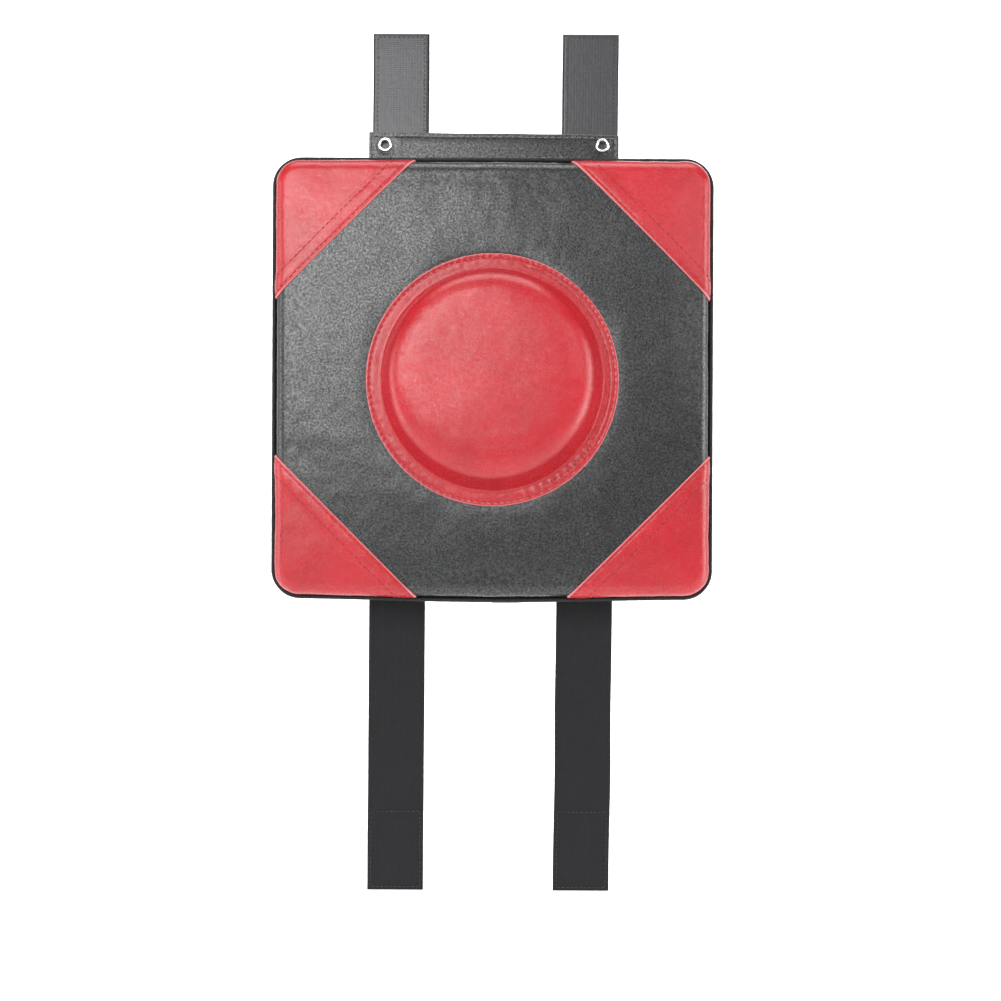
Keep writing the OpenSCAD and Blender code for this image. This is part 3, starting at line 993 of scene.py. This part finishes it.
def foam_block(node, radius_front, radius_back, material):
    """A block of foam with the pad's outline."""
    rings = around_pad(foam_profile(node, radius_front, radius_back), 10 * MM)
    middles = [np.array([[0, ring[0, 1], PAD_Z]]) for ring in (rings[0], rings[-1])]
    inwards = (0.9, 0.6, 0.3)
    rear = [middles[0] + (rings[0] - middles[0]) * t for t in reversed(inwards)]
    front = [middles[1] + (rings[-1] - middles[1]) * t for t in inwards]
    points, faces = capped(rear + rings + front, *middles)
    uneven = 0.15 * MM * lumps(points, 12 * MM, 14)
    points = settled(points + normals_of(points, faces) * uneven[:, None])
    attach(piece(node + "_block", points, faces, material), "pad", [node])


foam_block("front_foam", SHOULDER_R - FOAM_CLEAR, 0.5 * MM, SOFT_FOAM)
foam_block("core_foam", 5 * MM, 0.5 * MM, FIRM_FOAM)
foam_block("back_foam", 0.5 * MM, 6 * MM, FIRM_FOAM)


def target_foam():
    """The round foam that raises the target."""
    low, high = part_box("target_foam")
    radius, height = high.x, high.y - low.y
    edge = DOME_EDGE_R - SKIN_T
    wall = DOME_TOP_R + edge
    profile = [(0.5 * radius, 0.02 * MM), (radius - 1 * MM, 0.02 * MM), (radius, 1.0 * MM)]
    profile += [(radius + (wall - radius) * t, (height - edge) * t) for t in (0.35, 0.7)]
    profile += [
        (DOME_TOP_R + edge * math.cos(a), height - edge * (1 - math.sin(a)))
        for a in np.linspace(0.15, math.pi / 2, 7)
    ]
    profile += [(DOME_TOP_R * 0.6, height), (DOME_TOP_R * 0.25, height)]
    rings = lathed(profile, (0, high.y, TARGET_Z), 96).reshape(len(profile), -1, 3)
    ends = [[0, high.y - 0.02 * MM, TARGET_Z], [0, high.y - height, TARGET_Z]]
    points, faces = capped(rings, *ends)
    block = piece("target_foam_block", leaning(points), faces, SOFT_FOAM)
    attach(block, "pad", ["target_foam"])


target_foam()

# ---------------------------------------------------------------- header, eyelets and washers
HEADER_MIDDLE_Y = (header_low.y + header_high.y) / 2
HEADER_T = header_high.y - header_low.y
HEADER_FOOT = header_low.z - 2.0 * MM   # the lower edge is sewn in above the back piping
HEADER_SLOPE = 1.9 * MM                 # how much lower the top is at the right
HEADER_ROW = 2.7 * MM
LOWER_ROW_Z = header_high.z - 18.0 * MM
LOWER_ROW_X = STRAP_X - STRAP_W / 2
EYELET_X = (eyelet_low.x + eyelet_high.x) / 2
EYELET_R = (eyelet_high.x - eyelet_low.x) / 2
HOLE_R = 3.0 * MM


def header_top(x):
    """Height of the header's top edge, which dips to the right and is a little uneven."""
    uneven = 0.25 * MM * np.sin(x / (31 * MM)) + 0.12 * MM * np.sin(x / (9 * MM) + 1)
    share = (x - header_low.x) / (header_high.x - header_low.x)
    return header_high.z + 0.2 * MM - HEADER_SLOPE * share + uneven


def header_depth(x, z):
    """How far the header's faces sink at its stitches and eyelets, and swell between them."""
    from_top = header_top(x) - z
    from_side = header_high.x - abs(x)
    sunk = 0.30 * MM * dip(from_top, HEADER_ROW, 0.8 * MM) * (from_side > HEADER_ROW)
    sunk += 0.30 * MM * dip(from_side, HEADER_ROW, 0.8 * MM) * (from_top > HEADER_ROW)
    sunk += 0.25 * MM * dip(z, LOWER_ROW_Z, 0.8 * MM) * (abs(x) < LOWER_ROW_X)
    from_eyelet = np.hypot(abs(x) - EYELET_X, z)
    sunk += 0.25 * MM * dip(from_eyelet, EYELET_R, 1.6 * MM)
    swell = 0.28 * MM * fade(from_top, 3 * MM, 8 * MM) * fade(from_side, 3 * MM, 8 * MM)
    return sunk - swell * fade(from_eyelet, 6 * MM, 12 * MM)


def header_skin():
    """A folded strip: across its section around, and along X."""
    ends = [0.0, 0.25, 0.7, 1.4]
    share = [0.45, 0.8, 0.97, 1.0]
    low, high = header_low.x, header_high.x
    xs = np.concatenate([
        low + np.array(ends) * MM,
        np.linspace(low + 2.3 * MM, high - 2.3 * MM, 150),
        high - np.array(ends[::-1]) * MM,
    ])
    rounded = np.concatenate([share, np.ones(150), share[::-1]])
    up = np.linspace(0, 1, 34)
    turn = np.linspace(0, math.pi, 8)[1:-1]
    foot = HEADER_FOOT + HEADER_T / 2
    rings = []
    for x, full in zip(xs, rounded):
        half = HEADER_T / 2 * full
        top = header_top(x) - (1 - full) * 0.8 * MM - HEADER_T / 2
        z = foot + (top - foot) * up
        face = half - header_depth(np.full(len(z), x), z) * full
        ring = [(-f, h) for f, h in zip(face, z)]
        ring += [(-half * math.cos(a), top + HEADER_T / 2 * math.sin(a)) for a in turn]
        ring += [(min(f, half), h) for f, h in zip(face[::-1], z[::-1])]
        ring += [(half * math.cos(a), foot - HEADER_T / 2 * math.sin(a)) for a in turn]
        rings.append([(x, HEADER_MIDDLE_Y + y, h) for y, h in ring])
    columns = len(rings[0])
    points = np.vstack(rings)
    faces = [tuple(reversed(f)) for f in grid_faces(len(rings), columns, wrap=True)]
    faces.append(tuple(range(columns)))
    faces.append(tuple(reversed(range(len(points) - columns, len(points)))))
    return points, faces


def cut_holes(points, faces, holes):
    """The mesh with round holes through it along Y, at each (x, z, radius)."""
    body = link(bpy.data.objects.new("uncut", raw_mesh("uncut", points, faces)))
    for x, z, radius in holes:
        rings = lathed([(radius, -0.02), (radius, 0.02)], (x, HEADER_MIDDLE_Y, z), 48)
        drill_faces = grid_faces(2, 48, wrap=True) + [tuple(reversed(range(48))), tuple(range(48, 96))]
        drill = link(bpy.data.objects.new("drill", raw_mesh("drill", rings, drill_faces)))
        cut = body.modifiers.new("cut", "BOOLEAN")
        cut.operation, cut.solver, cut.object = "DIFFERENCE", "EXACT", drill
    result = body.evaluated_get(bpy.context.evaluated_depsgraph_get()).to_mesh()
    made = mesh_points(result).copy(), [tuple(p.vertices) for p in result.polygons]
    for obj in [body, *[o for o in bpy.data.objects if o.name.startswith("drill")]]:
        bpy.data.objects.remove(obj)
    return made


HEADER_PALE = 0.9 * MM
header_points, header_faces = cut_holes(
    *header_skin(), [(side * EYELET_X, 0, HOLE_R + 0.45 * MM) for side in (LEFT, RIGHT)]
)
header_edge = np.minimum(
    header_high.x - abs(header_points[:, 0]), header_top(header_points[:, 0]) - header_points[:, 2]
)
header_pale = 0.45 * (1 - fade(header_edge, 0.2 * MM, HEADER_PALE))
header = piece("header_leather", header_points, header_faces, BLACK, wear=header_pale)
attach(header, None, ["header_strip"])
BEND_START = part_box("header_reinforcement")[0].z - 0.3 * MM
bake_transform(header)

header_tree = facing(header_points, header_faces)


def header_lines(from_front):
    side = header_high.x - HEADER_ROW
    low = BEND_START + 0.6 * MM
    xs = np.linspace(-side, side, 160)
    top = np.column_stack([xs, header_top(xs) - HEADER_ROW])
    left = straight((-side, low), (-side, top[0, 1]))
    right = straight((side, low), (side, top[-1, 1]))
    lower = straight((-LOWER_ROW_X + 0.5 * MM, LOWER_ROW_Z), (LOWER_ROW_X - 0.5 * MM, LOWER_ROW_Z))
    return [drawn(header_tree, line, from_front) for line in (top, left, right, lower)]


header_stitching = stitched(
    "header_stitching", header_lines(True) + header_lines(False), GREY_THREAD, "header",
    pitch=4.6 * MM, radius=0.38 * MM,
)


def ring_piece(name, profile, side, node):
    """A closed metal ring around an eyelet's axis, from its (radius, height) outline."""
    points = lathed(profile, (side * EYELET_X, 0, 0), 64)
    faces = grid_faces(len(profile), 64, wrap=True, closed=True)
    attach(piece(name, points, faces, NICKEL, sharp=40), "header", [node])


def eyelet_outline(base, proud):
    """Outline of an eyelet, anticlockwise: a tube with a rim rolled over and down outside."""
    wall, tail = HOLE_R + 0.35 * MM, 0.05 * MM
    middle, half = (HOLE_R + EYELET_R) / 2, (EYELET_R - HOLE_R) / 2
    crown = [
        (middle + half * math.cos(a), base + proud * max(math.sin(a), 0) ** 0.75)
        for a in np.linspace(0, math.pi, 17)
    ]
    tube = [(wall, tail), (wall, base - 0.1 * MM), (EYELET_R - 0.15 * MM, base - 0.05 * MM)]
    return [*tube, *crown, (HOLE_R, tail)]


def washer_outline(height):
    return [
        (HOLE_R + 0.5 * MM, 0.02 * MM), (HOLE_R + 0.9 * MM, 0.0), (EYELET_R - 0.5 * MM, 0.0),
        (EYELET_R - 0.1 * MM, 0.12 * MM), (EYELET_R, height * 0.6), (EYELET_R - 0.05 * MM, height),
        (HOLE_R + 0.5 * MM, height),
    ]


for eyelet_side, side_name in SIDE_NAMES.items():
    eyelet, washer = f"eyelet_{side_name}", f"washer_{side_name}"
    proud = header_low.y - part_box(eyelet)[0].y + 0.1 * MM
    rim = eyelet_outline(-header_low.y - 0.1 * MM, proud)
    ring_piece(eyelet + "_rim", rim, eyelet_side, eyelet)
    ring_piece(washer + "_ring", washer_outline(-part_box(washer)[0].y), eyelet_side, washer)

# ---------------------------------------------------------------- straps and tapes
TOP_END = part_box("top_webbing_right")[1].z
BOTTOM_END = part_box("end_webbing_right")[0].z
TOP_SPLIT = PAD_TOP - 15 * MM       # where the pieces of one strap meet, sewn to the pad
LOW_SPLIT = PAD_BOTTOM + 15 * MM
CURL_SPLIT = PAD_BOTTOM - 60 * MM   # and on the free strap, where nothing bends
TOP_BAND = (-23 * MM, -11 * MM)
LOW_BAND = (PAD_BOTTOM + 0.5 * MM, PAD_BOTTOM - 10 * MM)
CURL_BAND = (PAD_BOTTOM - 90 * MM, PAD_BOTTOM - 110 * MM)


def wander(seed, heights, size):
    """Smooth noise along a strap, one value for each height."""
    return np.array([noise.noise(Vector((seed, h / size, 0))) for h in np.atleast_1d(heights)])


def sway(x, z):
    """How far back a strap hangs from its plane, above the header and below the pad."""
    above = 0.7 * MM * fade(z, 12 * MM, 60 * MM)
    below = 1.1 * MM * fade(-z, -PAD_BOTTOM + 12 * MM, -PAD_BOTTOM + 120 * MM)
    return (above + below) * (0.6 + 1.4 * wander(20 + np.sign(x), z, 70 * MM))


STRAP_LEAN = {LEFT: math.radians(0.22), RIGHT: math.radians(0.44)}


def side_step(x, z):
    """How far a strap leans sideways, and wanders where it is free."""
    free = fade(z, 10 * MM, 60 * MM) + fade(-z, -PAD_BOTTOM, -PAD_BOTTOM + 80 * MM)
    lean = STRAP_LEAN[np.sign(x)] * np.clip(np.atleast_1d(z) - PAD_Z, -0.5, 0.5)
    return 0.6 * MM * free * wander(40 + np.sign(x), z, 60 * MM) + lean


CUT_ROWS = np.array([0.0, 0.3, 0.8]) * MM
CUT_FULLNESS = np.array([0.5, 0.85, 0.98])


def lengthwise(z_low, z_high, cut):
    """The heights of a strap's rows, and how full it is at each: its cut ends are pinched."""
    low = z_low + CUT_ROWS if cut[0] else np.array([z_low])
    high = z_high - CUT_ROWS[::-1] if cut[1] else np.array([z_high])
    zs = np.linspace(z_low, z_high, max(2, round((z_high - z_low) / (1.7 * MM))))
    zs = np.concatenate([low, zs[(zs > low[-1] + 0.4 * MM) & (zs < high[0] - 0.4 * MM)], high])
    full = np.ones(len(zs))
    if cut[0]:
        full[:3] = CUT_FULLNESS
    if cut[1]:
        full[-3:] = CUT_FULLNESS[::-1]
    return zs, full


def crosswise(width, edge):
    """Once around a strap's section: the places across it, and from -1 at its front to 1."""
    half = width / 2
    columns = round(width / (1.1 * MM))
    face = np.linspace(-half + edge, half - edge, columns)
    turn = np.linspace(-math.pi / 2, math.pi / 2, 5)[1:-1]
    bulge = edge * np.cos(turn)
    across = np.concatenate([face, half - edge + bulge, face[::-1], -half + edge - bulge])
    ones = np.ones(columns)
    return across, np.concatenate([-ones, np.sin(turn), ones, np.sin(turn[::-1])])


def tape(name, side, width, depths, heights, material, cut=(True, True), nap=0.0, selvedge=True):
    """A flat length of strap or tape between two depths and two heights. cut says whether its low
    and high ends are cut edges, or run on into the next piece. nap is how rough its front is."""
    t = depths[1] - depths[0]
    half = width / 2
    u, v = crosswise(width, 0.45 * t)
    zs, full = lengthwise(*heights, cut)
    grid_u, grid_v = np.tile(u, (len(zs), 1)), np.tile(v, (len(zs), 1))
    grid_z = np.tile(zs[:, None], (1, len(u)))
    thin = np.ones_like(grid_u)
    if selvedge:
        rim_gap = half - abs(grid_u)
        thin -= 0.10 * dip(rim_gap, 2.3 * MM, 0.7 * MM)
        thin -= 0.12 * (1 - fade(rim_gap, 0.4 * MM, 1.6 * MM))
    x = side * STRAP_X
    y = depths[0] + t / 2 + sway(x, zs)[:, None]
    frayed = 0.10 * MM * np.array([noise.noise(Vector((side * 7, h / (3 * MM), 3))) for h in zs])
    frayed = frayed[:, None] * np.sign(grid_u) * (abs(grid_u) > half - 1.5 * MM)
    px = x + grid_u + side_step(x, zs)[:, None] + frayed
    py = y + grid_v * t / 2 * thin * full[:, None]
    points = np.stack([px, py, grid_z], axis=-1).reshape(-1, 3)
    if nap:
        in_front = (py < y).ravel()
        points[:, 1] -= in_front * nap * (0.5 + lumps(points, 1.7 * MM, 15))
    faces = grid_faces(len(zs), len(u), wrap=True)
    faces.append(tuple(reversed(range(len(u)))))
    faces.append(tuple(range(len(points) - len(u), len(points))))
    flat = np.stack([grid_u + side * 0.5, grid_v * 0.2 * MM, grid_z], axis=-1).reshape(-1, 3)
    wear = np.zeros(len(points))
    for is_cut, z_end in zip(cut, heights):
        if is_cut:
            wear = np.maximum(wear, 1 - fade(abs(points[:, 2] - z_end), 0.4 * MM, 1.2 * MM))
    return piece(name, points, faces, material, flat, wear)


def strap_rows(side, y, towards, outline):
    """Lines of stitches on a strap, given as (u, z) runs, following its sway."""
    x = side * STRAP_X
    lines = []
    for start, end in outline:
        u, z = straight(start, end, 40).T
        spots = np.column_stack([x + u + side_step(x, z), y + sway(x, z), z])
        lines.append((spots, np.tile([0.0, towards, 0.0], (len(spots), 1))))
    return lines


def box_cross(half, low, high):
    """A sewn box, as its four sides, and then the cross in it."""
    a, b, c, d = (-half, low), (half, low), (half, high), (-half, high)
    return [(a, b), (b, c), (c, d), (d, a), (a, c), (b, d)]


def strap_stitching(name, lines, material, body):
    return stitched(name + "_stitching", lines, material, body, pitch=3.2 * MM, radius=0.28 * MM)


def webbing(name, side, node, heights, cut, bodies, band=None):
    """One length of a strap, attached to its bodies. Given a band, it is instead baked in place and
    attached to no body; it doesn't bend at the band.
    """
    obj = tape(name, side, STRAP_W, WEB_DEPTHS, heights, WEBBING, cut)
    attach(obj, None if band else bodies, [f"{node}_webbing_{SIDE_NAMES[side]}"])
    if band:
        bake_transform(obj)
    return obj


def back_strap(side):
    """A strap's run down the pad's back, sewn to it with a box and a cross at each end."""
    name = f"back_strap_{SIDE_NAMES[side]}"
    heights = (LOW_SPLIT, TOP_SPLIT)
    obj = webbing(name, side, "back", heights, (False, False), "pad")
    lines = box_cross(15 * MM, TOP_SPLIT - 34 * MM, TOP_SPLIT - 3 * MM)
    lines += box_cross(15 * MM, LOW_SPLIT + 3 * MM, LOW_SPLIT + 34 * MM)
    lines += [((-17 * MM, z), (17 * MM, z)) for z in (TOP_SPLIT - 1 * MM, LOW_SPLIT + 1 * MM)]
    sewn = strap_stitching(name, strap_rows(side, WEB_DEPTHS[1], 1, lines), GREY_THREAD, "pad")


def tape_on(obj, node, body, margin, y_front, y_back):
    attach(obj, body, [node])
    low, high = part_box(node)
    side = math.copysign(1, low.x)
    width, length = high.x - low.x, high.z - low.z
    outline = box_cross(width / 2 - margin[0], low.z + margin[1], high.z - margin[1])[:4]
    lines = strap_rows(side, y_front, -1, outline) + strap_rows(side, y_back, 1, outline)
    sewn = strap_stitching(node, lines, BLACK_THREAD, body)


def top_strap(side):
    """The upper tail, with loop tape on its front."""
    name = SIDE_NAMES[side]
    body = f"top_strap_{name}"
    heights = (TOP_SPLIT, TOP_END)
    obj = webbing(f"{body}_webbing", side, "top", heights, (False, True), ("pad", body), TOP_BAND)
    node = f"loop_tape_{name}"
    low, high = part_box(node)
    loops = tape(
        f"{node}_nap", side, high.x - low.x, (low.y, high.y), (low.z, high.z), LOOPS,
        nap=0.10 * MM, selvedge=False,
    )
    tape_on(loops, node, body, (2.4 * MM, 2 * MM), low.y, WEB_DEPTHS[1])


def bottom_strap(side):
    """The lower tail in two lengths, with hook tape on the back of its end."""
    name = SIDE_NAMES[side]
    middle, end = f"bottom_strap_{name}", f"strap_end_{name}"
    heights = (CURL_SPLIT, LOW_SPLIT)
    bodies = ("pad", middle)
    lower = webbing(f"{middle}_webbing", side, "bottom", heights, (False, False), bodies, LOW_BAND)
    heights = (BOTTOM_END, CURL_SPLIT)
    tail = webbing(f"{end}_webbing", side, "end", heights, (True, False), (middle, end), CURL_BAND)
    node = f"hook_tape_{name}"
    low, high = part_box(node)
    depths = (low.y, low.y + HOOK_GROUND)
    ground = tape(
        f"{node}_ground", side, high.x - low.x, depths, (low.z, high.z), HOOKS, selvedge=False
    )
    tape_on(ground, node, end, (1.6 * MM, 1.6 * MM), WEB_DEPTHS[0], depths[1])
    attach(hooks(f"{node}_hooks", side, low, high), end)


HOOK_GROUND = 0.4 * MM      # thickness of the hook tape without its hooks
HOOK_PITCH = 1.5 * MM
HOOK_MARGIN = 3.2 * MM
HOOK_SIDES = 4
# A hook's centreline: how far up and along, as shares of its height, and its radius in mm
HOOK_BEND = [(0.0, 0.0, 0.16), (0.6, 0.0, 0.13), (0.95, 0.25, 0.12), (0.9, 0.7, 0.09), (0.6, 0.85, 0.06)]


def one_hook(height):
    """Points and faces of a hook that stands on the origin and bends downwards."""
    turn = np.arange(HOOK_SIDES) * 2 * math.pi / HOOK_SIDES
    points = [
        (radius * MM * math.cos(a), height * rise, -height * along + radius * MM * math.sin(a))
        for rise, along, radius in HOOK_BEND for a in turn
    ]
    faces = [tuple(reversed(f)) for f in grid_faces(len(HOOK_BEND), HOOK_SIDES, wrap=True)]
    tip = (len(HOOK_BEND) - 1) * HOOK_SIDES
    faces += [tuple(range(HOOK_SIDES)), tuple(reversed(range(tip, tip + HOOK_SIDES)))]
    return np.array(points), faces


def hooks(name, side, low, high):
    """The small bent hooks of the hook tape, in rows."""
    x = side * STRAP_X
    base = low.y + HOOK_GROUND - 0.05 * MM
    one, one_faces = one_hook(high.y - base)
    us = np.arange(low.x + HOOK_MARGIN, high.x - HOOK_MARGIN, HOOK_PITCH)
    points, faces = [], []
    for row, z in enumerate(np.arange(low.z + HOOK_MARGIN, high.z - HOOK_MARGIN, HOOK_PITCH)):
        swayed, stepped = sway(x, z)[0], side_step(x, z)[0]
        for u in us + (row % 2) * HOOK_PITCH / 2:
            start = len(points) * len(one)
            points.append(one + [u + stepped, base + swayed, z])
            faces += [tuple(i + start for i in f) for f in one_faces]
    return piece(name, np.vstack(points), faces, HOOKS)


for strap_side in (LEFT, RIGHT):
    back_strap(strap_side)
    top_strap(strap_side)
    bottom_strap(strap_side)

# ---------------------------------------------------------------- floor, backdrop and light
FLOOR_Z = -0.76
BACKDROP_Y = 1.7
COVE_R = 0.6
STAGE_HALF = 6.0
FLOOR_END = 0.15        # the floor ends here, and the backdrop begins


def pale(name, glow):
    """The floor's and the backdrop's finish; it glows by that much."""
    white = (1, 1, 1, 1)
    f = Finish(
        name, white, True, Roughness=0.9, Specular_IOR_Level=0.1, Emission_Color=white,
        Emission_Strength=glow,
    )
    base = f.mix(f.noise(60 * MM, 3.0), f.tone(0.90), f.tone(0.94))
    return f.set(Base_Color=base, Normal=f.bump(f.noise(4 * MM), 0.2 * MM, 0.1))


def stage_piece(name, profile, glow):
    """A sheet as wide as the stage, along a profile in Y and Z."""
    points = [(x, y, z) for y, z in profile for x in np.linspace(-STAGE_HALF, STAGE_HALF, 9)]
    obj = piece(name, np.array(points), grid_faces(len(profile), 9), pale(name + "_finish", glow))


cove = [
    (BACKDROP_Y - COVE_R + COVE_R * math.sin(a), FLOOR_Z + COVE_R * (1 - math.cos(a)))
    for a in np.linspace(0, math.pi / 2, 17)
]
stage_piece("floor", [(-STAGE_HALF, FLOOR_Z), (-1.0, FLOOR_Z), (FLOOR_END, FLOOR_Z)], 0.4)
stage_piece("backdrop", [(FLOOR_END, FLOOR_Z), *cove, (BACKDROP_Y, 1.2), (BACKDROP_Y, 2.4)], 0.7)


def softbox(name, spot, aim, width, height, radiance):
    """An area light of that size and radiance, turned towards a point."""
    data = bpy.data.lights.new(name, "AREA")
    data.shape = "RECTANGLE"
    data.size, data.size_y = width, height
    data.energy = radiance * math.pi * width * height
    light = link(bpy.data.objects.new(name, data))
    light.location = spot
    light.rotation_euler = (Vector(aim) - Vector(spot)).to_track_quat("-Z", "Y").to_euler()
    return light


PAD_MIDDLE = (0, FRONT_Y, PAD_Z)
FRONT_LIGHTS_Y = -1.85
SIDE_LIGHTS_Y = -0.34   # these graze the pad, so that the walls of the target are lit


def facing_pad(name, low, high, radiance):
    """A softbox parallel to the pad's face, between two corners in X and Z."""
    x, z = [(a + b) / 2 for a, b in zip(low, high)]
    width, height = high[0] - low[0], high[1] - low[1]
    return softbox(name, (x, FRONT_LIGHTS_Y, z), (x, 0, z), width, height, radiance)


facing_pad("key", (-1.75, -0.11), (-0.02, 0.98), 6.9)
facing_pad("right", (0.6, 0.05), (2.0, 1.1), 2.4)
softbox("right_side", (1.4, SIDE_LIGHTS_Y, PAD_Z), PAD_MIDDLE, 0.7, 1.2, 5.5)
softbox("left_side", (-1.4, SIDE_LIGHTS_Y, PAD_Z), PAD_MIDDLE, 0.7, 1.2, 3.4)
softbox("top_side", (0, SIDE_LIGHTS_Y, 1.1), PAD_MIDDLE, 1.4, 0.7, 4.4)
softbox("back_fill", (0.3, 1.5, 0.9), (0, 0, PAD_Z), 1.4, 1.0, 2.2)

world = bpy.data.worlds.new("studio")
bpy.context.scene.world = world
world.use_nodes = True
world.node_tree.nodes["Background"].inputs["Color"].default_value = (1, 1, 1, 1)
world.node_tree.nodes["Background"].inputs["Strength"].default_value = 0.22
bpy.context.scene.view_settings.view_transform = "Standard"
